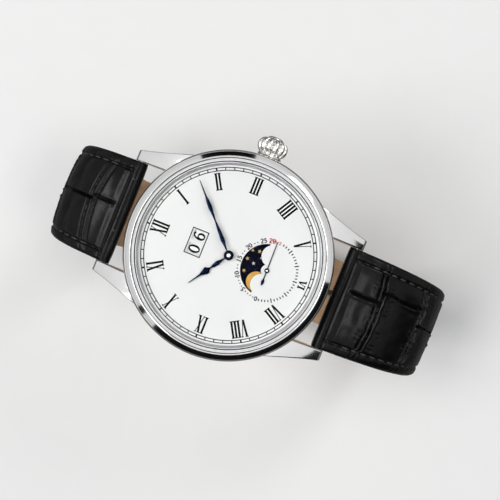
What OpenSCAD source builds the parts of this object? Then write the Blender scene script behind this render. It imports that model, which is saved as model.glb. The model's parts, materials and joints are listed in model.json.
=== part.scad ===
// A dress watch with a big date, small seconds and moon disc, on a leather strap.
// The origin is the middle of the case back's outer face. +Z comes out of the dial,
// +Y points to 12 o'clock and +X to 3 o'clock, where the crown is.

/* [Case] */
// Diameter of the case over the bezel
case_d = 42; // [40:0.5:45]
// Wall of the middle case beside the movement holder
case_wall = 1.9; // [1.6:0.1:2]
// Height of the middle case
mid_h = 7.6; // [7.4:0.1:9]
// Height of the bezel above the middle case
bezel_h = 2.4; // [2.1:0.1:3]
// Thickness of the case back's flange
back_h = 1.2; // [1:0.1:1.6]
// Radius of the window in the case back
back_window_r = 14.4; // [13:0.2:15]
// Thickness of the crystal at its edge
crystal_edge_h = 1.3; // [1:0.1:1.6]
// Height that the crystal domes above its edge
crystal_dome_h = 0.6; // [0.2:0.1:1]

/* [Lugs] */
// Width of the strap between the lugs
strap_w = 22; // [20:0.5:23]
// Gap between the strap and each lug
strap_gap = 0.1; // [0.1:0.05:0.3]
// Reach of the lugs past the case's edge
lug_reach = 4.3; // [4:0.1:5.5]
// Width of a lug at its tip
lug_tip_w = 2.2; // [1.9:0.1:3]
// Distance of the spring bars past the case's edge
bar_reach = 3; // [2.9:0.05:3.1]
// Height of the spring bars above the case back
bar_z = 2.9; // [2.6:0.1:3.2]
// Diameter of the spring bars
bar_d = 1.5; // [1.3:0.1:1.7]

/* [Crown] */
// Largest diameter of the crown
crown_d = 6.5; // [5.5:0.1:7]
// Length of the crown
crown_len = 4.5; // [4:0.1:5.5]
// Number of lobes round the crown
crown_lobes = 12; // [8:1:20]
// Diameter of the winding stem
stem_d = 1.1; // [0.9:0.05:1.2]
// How far the crown pulls out
crown_travel = 1.6; // [1:0.1:1.8]

/* [Dial and hands] */
// Thickness of the dial
dial_t = 0.4; // [0.3:0.05:0.5]
// Width of the sloping ring round the dial
flange_w = 0.65; // [0.5:0.05:1.5]
// Length of the hour hand
hour_len = 9.7; // [8:0.1:11]
// Length of the minute hand
minute_len = 16; // [13:0.1:16.5]
// Length of the small seconds hand
seconds_len = 6.05; // [4.5:0.05:6.4]
// Clockwise angle of the hour hand from 12
hour_angle = 304; // [0:1:359]
// Clockwise angle of the minute hand from 12
minute_angle = 47.1; // [0:0.1:359.9]
// Clockwise angle of the seconds hand from 12
seconds_angle = 89; // [0:1:359]
// Distance of the date windows from the middle of the dial
date_y = 6.93; // [6.5:0.05:7.2]
// Width of each date window
date_window_w = 1.95; // [1.6:0.05:2.2]
// Height of the date windows
date_window_h = 2.6; // [2:0.1:2.8]
// Radius of the moon window's arc
moon_window_r = 5.34; // [4.8:0.02:5.5]

/* [Movement] */
// Radius of the movement
movement_r = 15.8; // [15.7:0.1:16.2]
// Thickness of the main plate
plate_t = 0.95; // [0.8:0.05:1.1]
// Thickness of the bridges
bridge_t = 0.9; // [0.7:0.05:1]
// Radius of the mainspring barrel
barrel_r = 5.4; // [5:0.05:5.4]
// Radius of the balance wheel
balance_r = 4; // [3.5:0.1:4.1]
// Radius of the rotor
rotor_r = 13.6; // [12.6:0.1:13.8]
// Radius of the moon disc
moon_disc_r = 6; // [5.6:0.1:6.3]
// Radius of each date disc
date_disc_r = 5.8; // [5.4:0.05:5.8]

/* [Strap] */
// Length of the buckle half from bar to bar
buckle_half_len = 68; // [64:1:70]
// Length of the tail half from bar to tip
tail_half_len = 98; // [94:1:100]
// How much narrower the strap is at the buckle
strap_taper = 4; // [2:0.5:5]
// Height that the padding rises beside the lugs
pad_h = 3.2; // [2.2:0.1:3.6]
// Height of the thin leather above the strap's middle line
thin_h = 1.2; // [1:0.1:1.4]
// Thickness of the lining
lining_t = 0.9; // [0.6:0.1:1]
// Number of holes in the tail
tail_holes = 6; // [4:1:7]
// Diameter of the holes in the tail
tail_hole_d = 1.6; // [1.2:0.1:2]

/* [Buckle] */
// Diameter of the buckle's spring bar
buckle_bar_d = 1.2; // [1:0.1:1.2]
// Reach of the buckle past its bar
buckle_reach = 9.8; // [9:0.1:10.5]
// Thickness of the buckle's frame
buckle_t = 1.8; // [1.6:0.1:2]
// Width of the keepers along the strap
keeper_w = 5; // [4:0.5:5.5]
// Thickness of the keepers' leather
keeper_t = 1.1; // [0.8:0.1:1.2]

/* [Hidden] */
$fn = 96;
// Running clearance round every shaft
run = 0.05;
// Play between pieces that lie beside each other
play = 0.1;
// Overshoot of every cut
cut = 0.5;

// Levels, from the case back up
mid_z = back_h;
mid_top = mid_z + mid_h;
bezel_top = mid_top + bezel_h;
rotor_z = back_h + 0.5;
rotor_arm_t = 0.35;
rotor_weight_t = 0.8;
bridge_z = back_h + 1.8;
bridge_top = bridge_z + bridge_t;
plate_z = bridge_z + 3.05;
plate_top = plate_z + plate_t;
ratchet_t = 0.23;
ratchet_z = bridge_z - run - ratchet_t;
work_t = 0.25;
cannon_z = plate_top + run;
hour_wheel_z = cannon_z + work_t + run;
disc_t = 0.15;
disc_z = hour_wheel_z + work_t + play;
dial_z = disc_z + disc_t + 0.2;
dial_top = dial_z + dial_t;
seconds_hand_z = dial_top + 0.15;
hour_hand_z = dial_top + 0.4;
minute_hand_z = dial_top + 0.8;
hand_t = 0.16;
crystal_z = mid_top + bezel_h / 2;
train_z = bridge_top + 0.25;
stem_z = bridge_z + 2;

// Radii of the case
case_r = case_d / 2;
flank_r = case_r - 0.4;
flank_low_r = case_r - 0.8;
bore_r = flank_r - case_wall;
ring_r = bore_r - run;
bezel_low_r = case_r - 0.1;
crystal_r = bore_r + 0.25;
gasket_t = 0.22;
flange_r = bore_r - 0.15;
dial_show_r = flange_r - flange_w;
bezel_bore_r = crystal_r + gasket_t;
back_r = flank_low_r - 0.8;
bar_y = case_r + bar_reach;
bar_r = bar_d / 2;
lug_in = strap_w / 2 + strap_gap;
lug_tip_y = case_r + lug_reach;
crown_x = case_r + 0.3;
crown_r = crown_d / 2;
stem_r = stem_d / 2;
tube_r = 1.3;
gasket_x = crown_x + 0.35;
crown_gasket_t = 0.5;
tube_end_x = gasket_x + crown_gasket_t + crown_travel;
hollow_x = tube_end_x + run;

// Places of the wheels, seen from the dial
centre_at = [0, 0];
barrel_at = [4.9, 4.05];
third_at = [-0.9, -4.41];
fourth_at = [0, -8.15];
escape_at = [-3.1, -9.55];
pallet_at = [-5.6, -8.6];
balance_at = [-8.3, -6.5];
cock_foot_at = [-13.1, -1.6];
crown_wheel_at = [9.2, 1.2];
units_at = [5.9, date_y];
tens_at = [-5.9, date_y];
tooth_h = 0.22;
mesh_gap = 0.05;

// Sizes of the train, from the distances between its wheels
third_pinion_r = 0.55;
fourth_pinion_r = 0.5;
escape_pinion_r = 0.45;
centre_pinion_r = norm(barrel_at) - barrel_r - mesh_gap;
centre_wheel_r = norm(third_at) - third_pinion_r - mesh_gap;
third_wheel_r = norm(third_at - fourth_at) - fourth_pinion_r - mesh_gap;
fourth_wheel_r = norm(fourth_at - escape_at) - escape_pinion_r - mesh_gap;
escape_wheel_r = 2;
cannon_r = 1.05;
minute_wheel_r = 2.9;
minute_pinion_r = 0.75;
hour_wheel_r = cannon_r + minute_wheel_r - minute_pinion_r;
minute_wheel_at = (cannon_r + minute_wheel_r + mesh_gap) * [-0.8, 0.6];
ratchet_r = 2.9;
crown_wheel_r = norm(barrel_at - crown_wheel_at) - ratchet_r - mesh_gap;
pinion_r = 1.5;
pinion_x = 10.4;
pinion_len = 1.4;
crown_wheel_rim = 0.55;
barrel_z = bridge_top + 0.2;
barrel_h = 1.2;
arbor_r = 0.25;
pivot_r = 0.12;
centre_arbor_r = 0.4;
pipe_r = 0.62;
hub_r = 1;
seconds_arbor_r = 0.18;
moon_tube_r = 0.5;
jewel_r = 0.55;
screw_head_r = 0.75;
screw_r = 0.35;
screw_head_h = 0.35;
bearing_r = 1.2;
post_r = 0.8;

// Which way the bridges are split, and how far along it
split_angle = atan2(barrel_at[1], barrel_at[0]);
barrel_edge = 1.6;
train_edge = 1.4;
train_end = -9.2;

// The strap's routes: each stretch is [length, turn], with the turn downwards in degrees
buckle_head = 25;
buckle_route = [[6, 0], [22.8, 87], [17, 0], [11.9, 68], [40, 0]];
tail_head = 18;
tail_route = [[12, 0], [25.5, 77], [10, 0], [23.7, 85], [60, 0]];
lug_roll_r = 1.6;
end_roll_r = 1.2;
through = 3;
buckle_bar_r = buckle_bar_d / 2;
leather_low = -0.7;
strap_end_w = strap_w - strap_taper;
pad_rise = 7;
pad_fall = 26;
pad_level = 9;
ring_step = 2.4;
tip_len = 9;
hole_first = 18;
hole_step = 5;
slot_w = 2.6;
slot_len = 3.4;
tongue_w = 2;
frame_w = 2;
frame_gap = 0.2;
free_at = 34;
fixed_from_end = 6.5;
keeper_play = 0.3;
keeper_room = thin_h - leather_low + lining_t + keeper_play;

// A point on a clock face
function clock(a, r) = [r * sin(a), r * cos(a)];
// Points of an arc from angle a to b
function arc(r, a, b, n) = [for (i = [0:n]) r * [cos(a + (b - a) * i / n), sin(a + (b - a) * i / n)]];
function shift(points, by) = [for (p = points) p + by];
// The outline of a toothed wheel
function teeth(r, n) = [
    for (i = [0:n - 1]) for (k = [0:3])
    let (a = 360 * (i + k / 4) / n, q = k < 2 ? r : r - tooth_h) [q * cos(a), q * sin(a)]
];
// Where a stretch of a route leads: [y, z, heading]
function along(from, leg, s) = leg[1] == 0
    ? [from[0] + s * cos(from[2]), from[1] - s * sin(from[2]), from[2]]
    : let (bend_r = leg[0] / leg[1] * 180 / PI, head = from[2] + leg[1] * s / leg[0])
      [from[0] + bend_r * (sin(head) - sin(from[2])),
       from[1] - bend_r * (cos(from[2]) - cos(head)), head];
function route_at(route, from, s, i = 0) = i == len(route) - 1 || s <= route[i][0]
    ? along(from, route[i], s)
    : route_at(route, along(from, route[i], route[i][0]), s - route[i][0], i + 1);
function buckle_route_at(s) = route_at(buckle_route, [bar_y, bar_z, buckle_head], s);
function tail_route_at(s) = route_at(tail_route, [bar_y, bar_z, tail_head], s);
// A smooth step from 0 to 1
function ease(t) = let (u = min(1, max(0, t))) u * u * (3 - 2 * u);
// Width and height of a strap half at distance s from the lugs
function strap_half_w(s) = strap_w / 2 - (strap_w - strap_end_w) / 2 * ease(s / 60);
function tip_share(s) = s < tail_half_len - tip_len
    ? 1
    : max(0.3, sqrt(1 - pow((s - tail_half_len + tip_len) / tip_len, 2)));
function rising(s) = ease(s / pad_rise);
function falling(s) = ease((s - pad_level) / pad_fall);
function pad_top(s) = let (start = lug_roll_r - 0.25)
    start + (pad_h - start) * rising(s) + (thin_h - pad_h) * falling(s);
function edge_top(s) = leather_low + 0.85 * (pad_top(s) - leather_low) - 0.7 * rising(s) * (1 - falling(s));

// One ring of leather, from its low edge over the crown
function leather_ring(at, half_w, s) = let (top = pad_top(s), edge = edge_top(s)) [
    for (k = [0:8])
    let (u = k == 0 || k == 8 ? (k == 0 ? -1 : 1) : (k - 4) / 3,
         v = k == 0 || k == 8 ? leather_low : edge + (top - edge) * (1 - pow(u, 2) * abs(u)))
    [half_w * u, at[0] + v * sin(at[2]), at[1] + v * cos(at[2])]
];
// One ring of the lining
function lining_ring(at, half_w) = [
    for (c = [[-1, 1], [-1, 0], [1, 0], [1, 1]])
    let (v = leather_low - lining_t * (1 - c[1]))
    [half_w * c[0], at[0] + v * sin(at[2]), at[1] + v * cos(at[2])]
];
// Joins rings of n points into a closed skin
function skin(rings, n) = concat(
    [for (i = [0:rings - 2]) for (k = [0:n - 1])
        let (a = i * n + k, b = i * n + (k + 1) % n) each [[a, a + n, b + n], [a, b + n, b]]],
    [for (k = [1:n - 2]) [0, k, k + 1]],
    [for (k = [1:n - 2]) let (e = (rings - 1) * n) [e, e + k + 1, e + k]]
);
module sweep(rings) {
    polyhedron([for (r = rings) each r], skin(len(rings), len(rings[0])));
}
function steps(to) = let (n = ceil(to / ring_step)) [for (i = [0:n]) to * i / n];
// The lining has its rings where the leather has, so that the two lie face to face
function lining_steps(to, all) =
    concat([lining_from], [for (s = all) if (s > lining_from + 0.2 && s < to - 0.2) s], [to]);

module tube(r, bore, h) {
    difference() {
        cylinder(r = r, h = h);
        translate([0, 0, -cut]) cylinder(r = bore, h = h + 2 * cut);
    }
}
module at(place, z = 0) {
    translate([place[0], place[1], z]) children();
}
// A flat toothed wheel with spokes and a round hole
module wheel(r, n, t, hub, spokes, bore, rim = 0.45) {
    spoke_w = 0.4;
    linear_extrude(t) difference() {
        polygon(teeth(r, n));
        circle(bore);
        difference() {
            circle(r - tooth_h - rim);
            circle(hub);
            for (i = [0:spokes - 1]) rotate(360 * i / spokes) translate([0, -spoke_w / 2])
                square([r, spoke_w]);
        }
    }
}
module pinion(r, n, t, bore = 0) {
    linear_extrude(t) difference() {
        polygon(teeth(r, n));
        if (bore > 0) circle(bore);
    }
}
// A flat bar with round ends
module bar(a, b, r, t) {
    d = b - a;
    at(a) cylinder(r = r, h = t);
    at(b) cylinder(r = r, h = t);
    at(a) rotate(atan2(d[1], d[0])) translate([0, -r, 0]) cube([norm(d), 2 * r, t]);
}
// An arbor with thinner pivots at both ends
module arbor(r, low, high) {
    translate([0, 0, low]) cylinder(r = r, h = high - low);
    translate([0, 0, low - 0.4]) cylinder(r = pivot_r, h = high - low + 0.8);
}
module along_x(x, z) {
    translate([x, 0, z]) rotate([0, 90, 0]) children();
}

// The middle case with its four lugs
module lug_side() {
    top_y = case_r - 6;
    top_z = mid_top - 0.8;
    tip_top_z = bar_z + 1.2;
    tip_round = 1.5;
    bend = 1.3;
    span = lug_tip_y - 0.6 - top_y;
    n = 12;
    polygon(concat(
        [[top_y, mid_z + 0.3]],
        [[case_r - 3, mid_z], [lug_tip_y - 1.6, bar_z - 2.1]],
        shift(arc(tip_round, -60, 40, 5), [lug_tip_y - tip_round, bar_z - 0.4]),
        [for (i = [0:n]) let (t = 1 - i / n) [top_y + span * t, top_z - (top_z - tip_top_z) * pow(t, bend)]]
    ));
}
module lug_top() {
    root_y = case_r - 9.5;
    taper = 1.25;
    root_x = sqrt(pow(flank_r - 0.2, 2) - pow(root_y, 2));
    tip_x = lug_in + lug_tip_w;
    n = 10;
    polygon(concat(
        [[lug_in, root_y], [lug_in, lug_tip_y + 1]],
        [[tip_x - 0.3, lug_tip_y + 1]],
        [for (i = [0:n]) let (t = i / n)
            [tip_x + (root_x - tip_x) * pow(t, taper), lug_tip_y - 0.2 + (root_y - lug_tip_y + 0.2) * t]]
    ));
}
module lug() {
    intersection() {
        rotate([90, 0, 90]) linear_extrude(case_d) lug_side();
        linear_extrude(mid_top) lug_top();
    }
}
module mid_case() {
    color("silver") difference() {
        union() {
            rotate_extrude() polygon([
                [bore_r, mid_z], [flank_low_r, mid_z], [flank_low_r + 0.25, mid_z + 0.7],
                [flank_r - 0.1, mid_z + mid_h * 0.45], [flank_r, mid_z + mid_h * 0.7],
                [flank_r, mid_top - 0.3], [flank_r - 0.3, mid_top], [bore_r, mid_top]
            ]);
            for (sx = [0, 1]) for (sy = [0, 1]) mirror([sx, 0, 0]) mirror([0, sy, 0]) lug();
        }
        translate([0, 0, -cut]) cylinder(r = bore_r, h = mid_top + 2 * cut);
        along_x(0, stem_z) cylinder(r = tube_r, h = case_r + cut);
        for (s = [-1, 1]) translate([-lug_in - bar_tip_len, s * bar_y, bar_z]) rotate([0, 90, 0])
            cylinder(r = bar_tip_r + run, h = 2 * (lug_in + bar_tip_len));
    }
}
bar_tip_r = 0.45;
bar_tip_len = 1.1;
// How far the bezel's face has fallen, from its top at 0 to its widest at 1
function bezel_fall(u) = 0.56 * pow(u, 1.15) + 0.44 * (1 - sqrt(max(0, 1 - pow(u, 6))));
module bezel() {
    shoulder = 0.35;
    face_h = bezel_h - shoulder - 0.18;
    face_r = bezel_bore_r + 0.45;
    n = 10;
    color("gainsboro") rotate_extrude() polygon(concat(
        [[bore_r - 0.05, mid_top], [bezel_low_r - 0.4, mid_top], [bezel_low_r, mid_top + shoulder]],
        [for (i = [n:-1:0]) let (u = sin(90 * i / n))
            [face_r + (case_r - face_r) * u, bezel_top - 0.03 - face_h * bezel_fall(u)]],
        [[bezel_bore_r + 0.3, bezel_top], [bezel_bore_r, bezel_top],
         [bezel_bore_r, crystal_z], [bore_r - 0.05, crystal_z]]
    ));
}
module crystal() {
    chamfer = 0.6;
    rim_z = crystal_z + crystal_edge_h;
    n = 8;
    color("lightblue", 0.35) rotate_extrude() polygon(concat(
        [[0, crystal_z], [crystal_r, crystal_z], [crystal_r, rim_z - chamfer / 2]],
        [for (i = [0:n]) let (t = 1 - i / n)
            [(crystal_r - chamfer) * t, rim_z + crystal_dome_h * (1 - t * t)]]
    ));
}
module crystal_gasket() {
    color("white") translate([0, 0, crystal_z]) tube(bezel_bore_r, crystal_r, crystal_edge_h * 0.5);
}
back_lip = 0.3;
gasket_groove = 0.35;
module case_back() {
    color("silver") difference() {
        union() {
            rotate_extrude() polygon([
                [back_window_r - back_lip, 0], [back_r - 0.4, 0], [back_r, 0.4], [back_r, back_h],
                [back_window_r - back_lip, back_h]
            ]);
            translate([0, 0, back_h]) tube(ring_r, ring_r - 1.4, 1);
        }
        translate([0, 0, back_lip]) cylinder(r = back_window_r, h = back_h);
        translate([0, 0, back_h - gasket_groove]) tube(back_gasket_r, ring_r, gasket_groove + cut);
        for (i = [0:5]) rotate(60 * i + 30) translate([back_r, 0, -cut]) cylinder(r = 0.9, h = 0.5 + cut);
    }
}
back_gasket_r = back_r - 0.25;
module back_gasket() {
    color("black") translate([0, 0, back_h - gasket_groove]) tube(back_gasket_r, ring_r, gasket_groove);
}
module back_window() {
    color("lightblue", 0.35) union() {
        cylinder(r = back_window_r - back_lip, h = back_h);
        translate([0, 0, back_lip]) cylinder(r = back_window_r, h = back_h - back_lip);
    }
}
module crown_tube() {
    color("silver") along_x(bore_r - 0.4, stem_z) tube(tube_r, stem_r + run, tube_end_x - bore_r + 0.4);
}
module movement_ring() {
    color("gray") difference() {
        translate([0, 0, bridge_z]) tube(ring_r, movement_r + run, dial_z - bridge_z);
        along_x(0, stem_z) cylinder(r = tube_r + run, h = case_r);
    }
}
module flange_ring() {
    top_z = crystal_z - play;
    color("gainsboro") rotate_extrude() polygon([
        [dial_show_r, dial_top], [flange_r, dial_top], [flange_r, top_z], [flange_r - 0.2, top_z]
    ]);
}

// The dial with its openings
module moon_window() {
    bump_at = 3.05;
    bump_r = 2.2;
    boss_r = 1.17;
    sill = 0.35;
    horn_y = 1.25;
    at(fourth_at) difference() {
        intersection() {
            circle(moon_window_r);
            translate([-moon_window_r, sill]) square(2 * moon_window_r);
        }
        for (s = [-1, 1]) translate([s * bump_at, 0]) circle(bump_r);
        for (s = [-1, 1]) translate([s * (bump_at + moon_window_r), 0])
            square([2 * moon_window_r, 2 * horn_y], center = true);
        circle(boss_r);
    }
}
date_gap = 0.75;
module date_windows(grow = 0) {
    for (s = [-1, 1]) translate([s * (date_window_w + date_gap) / 2, date_y])
        square([date_window_w + grow, date_window_h + grow], center = true);
}
module dial() {
    color("white") translate([0, 0, dial_z]) linear_extrude(dial_t) difference() {
        circle(bore_r - play);
        circle(pipe_r + run);
        at(fourth_at) circle(seconds_arbor_r + 0.25);
        moon_window();
        date_windows();
    }
}
module date_window_frame() {
    frame_x = 2 * date_window_w + date_gap + 0.8;
    frame_y = date_window_h + 0.8;
    color("black") translate([0, 0, dial_top]) linear_extrude(0.08) difference() {
        translate([0, date_y]) square([frame_x, frame_y], center = true);
        date_windows(0.12);
    }
}

// The fixed plates of the movement
bridge_screws_at = [
    clock(62, 14.2), clock(8, 14.2), clock(20 - 60, 13.9), clock(118, 14.2), clock(160, 14.2), clock(276, 14)
];
module main_plate() {
    block_x = 13;
    color("silver") union() {
        difference() {
            union() {
                translate([0, 0, plate_z]) cylinder(r = movement_r, h = plate_t);
                translate([block_x, -1.3, bridge_top + 0.15])
                    cube([movement_r - 0.6 - block_x, 2.6, plate_z - bridge_top]);
                for (p = [units_at, tens_at]) at(p, plate_top)
                    cylinder(r = post_r, h = disc_z + disc_t + 0.1 - plate_top);
                at(fourth_at, plate_top) cylinder(r = moon_tube_r, h = disc_z + disc_t + 0.1 - plate_top);
                at(minute_wheel_at, plate_top) cylinder(r = arbor_r, h = hour_wheel_z + work_t - plate_top);
            }
            at(centre_at, plate_z - cut) cylinder(r = centre_arbor_r + run, h = 3);
            at(fourth_at, plate_z - cut) cylinder(r = seconds_arbor_r + run, h = 4);
            for (p = [third_at, escape_at, pallet_at, balance_at, barrel_at])
                at(p, plate_z - cut) cylinder(r = jewel_r, h = cut + 0.5);
            along_x(pinion_x - 1, stem_z) cylinder(r = stem_r + run, h = 12);
            along_x(pinion_x - play, stem_z) cylinder(r = pinion_r + play, h = pinion_len + 2 * play);
            at(fourth_at, plate_z - cut) cylinder(r = jewel_r, h = cut + 0.5);
        }
    }
}
module bridge_half(low, high) {
    intersection() {
        cylinder(r = movement_r - 0.2, h = bridge_t);
        rotate(split_angle) translate([low, -movement_r, 0]) cube([high - low, 2 * movement_r, bridge_t]);
    }
}
module screw_hole() {
    translate([0, 0, bridge_z - cut]) cylinder(r = screw_head_r + run, h = cut + screw_head_h);
    translate([0, 0, bridge_z - cut]) cylinder(r = screw_r + run, h = 2.5);
}
module screw() {
    difference() {
        union() {
            cylinder(r = screw_head_r, h = screw_head_h);
            cylinder(r = screw_r, h = 1.8);
        }
        translate([-screw_head_r, -0.1, -cut]) cube([2 * screw_head_r, 0.2, cut + 0.12]);
    }
}
function side_of(p) = p[0] * cos(split_angle) + p[1] * sin(split_angle);
barrel_screws = [for (p = bridge_screws_at) if (side_of(p) > barrel_edge) p];
train_screws = [for (p = bridge_screws_at) if (side_of(p) <= barrel_edge) p];
module bridge(low, high, screws) {
    difference() {
        union() {
            translate([0, 0, bridge_z]) bridge_half(low, high);
            for (p = screws) at(p, bridge_top) cylinder(r = 1.1, h = plate_z - bridge_top);
        }
        for (p = screws) at(p) screw_hole();
    }
}
module barrel_bridge() {
    color("gainsboro") difference() {
        bridge(barrel_edge, 2 * movement_r, barrel_screws);
        at(barrel_at, bridge_z - cut) cylinder(r = jewel_r + run, h = 3);
        at(crown_wheel_at, bridge_z - cut) cylinder(r = crown_wheel_r + play, h = cut + crown_wheel_rim);
        along_x(pinion_x - play, stem_z) cylinder(r = pinion_r + play, h = pinion_len + 2 * play);
    }
}
module train_bridge() {
    color("gainsboro") difference() {
        bridge(train_end, train_edge, train_screws);
        at(balance_at, bridge_z - cut) cylinder(r = balance_r + 0.4, h = 3);
        at(cock_foot_at, bridge_z - cut) cylinder(r = 2.1, h = 3);
        for (p = [centre_at, third_at, fourth_at, escape_at])
            at(p, bridge_z - cut) cylinder(r = jewel_r, h = bridge_t + 2 * cut);
    }
}
cock_z = bridge_z - 0.25;
cock_t = 0.4;
module balance_cock() {
    color("gainsboro") difference() {
        union() {
            translate([0, 0, cock_z]) bar(cock_foot_at, balance_at, 1.3, cock_t);
            at(cock_foot_at, cock_z) cylinder(r = 1.8, h = plate_z - cock_z);
        }
        at(balance_at, cock_z - cut) cylinder(r = jewel_r, h = cock_t + 2 * cut);
        at(cock_foot_at, cock_z - cut) cylinder(r = screw_head_r + run, h = cut + screw_head_h);
        at(cock_foot_at, cock_z - cut) cylinder(r = screw_r + run, h = 2.5);
    }
}
pallet_bridge_z = bridge_top + 0.05;
pallet_bridge_t = 0.3;
pallet_foot_at = pallet_at + 3.4 * [cos(-75), sin(-75)];
module pallet_bridge() {
    color("gainsboro") difference() {
        union() {
            translate([0, 0, pallet_bridge_z]) bar(pallet_at, pallet_foot_at, 0.8, pallet_bridge_t);
            at(pallet_foot_at, pallet_bridge_z) cylinder(r = 0.8, h = plate_z - pallet_bridge_z);
        }
        at(pallet_at, pallet_bridge_z - cut) cylinder(r = jewel_r, h = 2);
    }
}
module bridge_screws() {
    color("steelblue") {
        for (p = bridge_screws_at) at(p, bridge_z) screw();
        at(cock_foot_at, cock_z) screw();
    }
}
module jewel(h) {
    tube(jewel_r, pivot_r + run, h);
}
module jewels() {
    color("crimson") {
        for (p = [third_at, fourth_at, escape_at]) at(p, bridge_z) jewel(bridge_t);
        for (p = [third_at, escape_at, pallet_at, balance_at]) at(p, plate_z) jewel(0.5);
        at(barrel_at, plate_z) jewel(0.5);
        at(balance_at, cock_z) jewel(cock_t);
        at(pallet_at, pallet_bridge_z) jewel(pallet_bridge_t);
        at(fourth_at, plate_z) tube(jewel_r, seconds_arbor_r + run, 0.5);
    }
}
module casing_clamps() {
    clamp_r = movement_r;
    color("silver") for (a = [30, 210, 300]) at(clock(a, clamp_r), bridge_z - 0.35) difference() {
        rotate(-a) translate([-1.4, -1, 0]) cube([2.8, 2.4, 0.35]);
        translate([0, 0, -cut]) cylinder(r = 0.4, h = 2);
    }
}
module rotor_bearing() {
    color("silver") union() {
        translate([0, 0, rotor_z]) cylinder(r = bearing_r, h = bridge_z - rotor_z);
        translate([0, 0, rotor_z - 0.2]) cylinder(r = bearing_r + 0.7, h = 0.15);
        translate([0, 0, rotor_z - 0.1]) cylinder(r = bearing_r, h = 0.2);
        translate([0, 0, bridge_z]) cylinder(r = jewel_r, h = 0.5);
    }
}
module hairspring() {
    coil_w = 0.07;
    coils = 8;
    first_r = 0.55;
    last_r = balance_r * 0.52;
    n = 24 * coils;
    outer = [for (i = [0:n]) let (r = first_r + (last_r - first_r) * i / n, a = 360 * coils * i / n)
        r * [cos(a), sin(a)]];
    inner = [for (i = [n:-1:0]) let (r = first_r - coil_w + (last_r - first_r) * i / n,
        a = 360 * coils * i / n)
        r * [cos(a), sin(a)]];
    color("steelblue") at(balance_at, cock_z + cock_t) {
        translate([0, 0, 0.05]) linear_extrude(0.16) polygon(concat(outer, inner));
        translate([last_r - 0.1, 0, 0]) cylinder(r = 0.22, h = 0.21);
    }
}
module spring_bar(y) {
    collar_gap = 0.1;
    color("silver") translate([0, y, bar_z]) rotate([0, 90, 0]) union() {
        translate([0, 0, -lug_in + collar_gap]) cylinder(r = bar_r, h = 2 * (lug_in - collar_gap));
        translate([0, 0, -lug_in - bar_tip_len + play])
            cylinder(r = bar_tip_r, h = 2 * (lug_in + bar_tip_len - play));
    }
}
module spring_bar_12() {
    spring_bar(bar_y);
}
module spring_bar_6() {
    spring_bar(-bar_y);
}

// The crown, its gasket, the stem and the pinion that it turns
crown_hollow_r = tube_r + 0.45;
module crown_gasket() {
    color("black") along_x(gasket_x, stem_z) tube(crown_hollow_r - run, tube_r + run, crown_gasket_t);
}
module crown() {
    cap_r = crown_r * 0.5;
    groove_r = 0.35 * 2 * PI * crown_r / crown_lobes;
    color("silver") along_x(crown_x, stem_z) difference() {
        rotate_extrude() polygon(concat(
            [[0, 0], [crown_r * 0.82, 0], [crown_r * 0.86, 0.35], [crown_r * 0.8, 0.5]],
            [for (p = arc(1, -52, 62, 12))
                [crown_r * 0.45 + crown_r * 0.55 * p[0], crown_len * (0.5 + 0.38 * p[1])]],
            [[cap_r, crown_len * 0.85], [cap_r, crown_len * 0.9], [cap_r * 0.75, crown_len * 0.97],
                [0, crown_len]]
        ));
        translate([0, 0, -cut]) cylinder(r = crown_hollow_r, h = cut + hollow_x - crown_x);
        for (i = [0:crown_lobes - 1]) rotate(360 * i / crown_lobes) translate([crown_r + 0.05, 0, 0.5])
            cylinder(r = groove_r, h = crown_len);
    }
}
module winding_stem() {
    stem_end = pinion_x - 0.6;
    color("silver") along_x(stem_end, stem_z) cylinder(r = stem_r, h = hollow_x - stem_end);
}
module winding_pinion() {
    color("silver") along_x(pinion_x, stem_z) pinion(pinion_r, 14, pinion_len, stem_r + run);
}

// Hands, each drawn up from its own hub and then turned
function leaf(from, to, w, n = 10) =
    [for (i = [0:n]) let (t = i / n) [w * sin(180 * t), from + (to - from) * t]];
function mirrored(points) = [for (i = [len(points) - 1:-1:0]) [-points[i][0], points[i][1]]];
module blade(points, t) {
    linear_extrude(t) polygon(concat(points, mirrored(points)));
}
needle = 0.07;
module hour_hand() {
    bulb_y = hour_len * 0.56;
    right = concat(
        [[needle + 0.12, 0.6], [0.5, 2.6], [0.2, 4.3]],
        [[0.58, bulb_y - 0.5], [0.68, bulb_y], [0.5, bulb_y + 0.5]],
        [[0.18, bulb_y + 1.3], [needle, hour_len - 0.6], [0.02, hour_len]]
    );
    color("midnightblue") rotate(-hour_angle) translate([0, 0, hour_hand_z]) difference() {
        union() {
            blade(right, hand_t);
            cylinder(r = hub_r, h = hand_t);
        }
        translate([0, 0, -cut]) cylinder(r = pipe_r, h = 2);
    }
}
module hour_wheel() {
    color("gold") union() {
        translate([0, 0, hour_wheel_z]) wheel(hour_wheel_r, 48, work_t, 1.3, 4, centre_arbor_r + run + 0.02);
        translate([0, 0, hour_wheel_z])
            tube(pipe_r, centre_arbor_r + run, hour_hand_z + hand_t - hour_wheel_z);
    }
}
module minute_hand() {
    waist_y = minute_len * 0.47;
    right = concat(
        [[0.2, 0.5], [0.46, 2.9], [0.34, 5], [needle + 0.07, waist_y]],
        [[0.36, waist_y + 2.3], [0.3, waist_y + 3.4], [0.1, waist_y + 5], [needle, minute_len - 0.8],
            [0.02, minute_len]]
    );
    color("midnightblue") rotate(-minute_angle) translate([0, 0, minute_hand_z]) difference() {
        union() {
            blade(right, hand_t);
            cylinder(r = hub_r - 0.05, h = hand_t);
        }
        translate([0, 0, -cut]) cylinder(r = centre_arbor_r, h = 2);
    }
}
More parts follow.
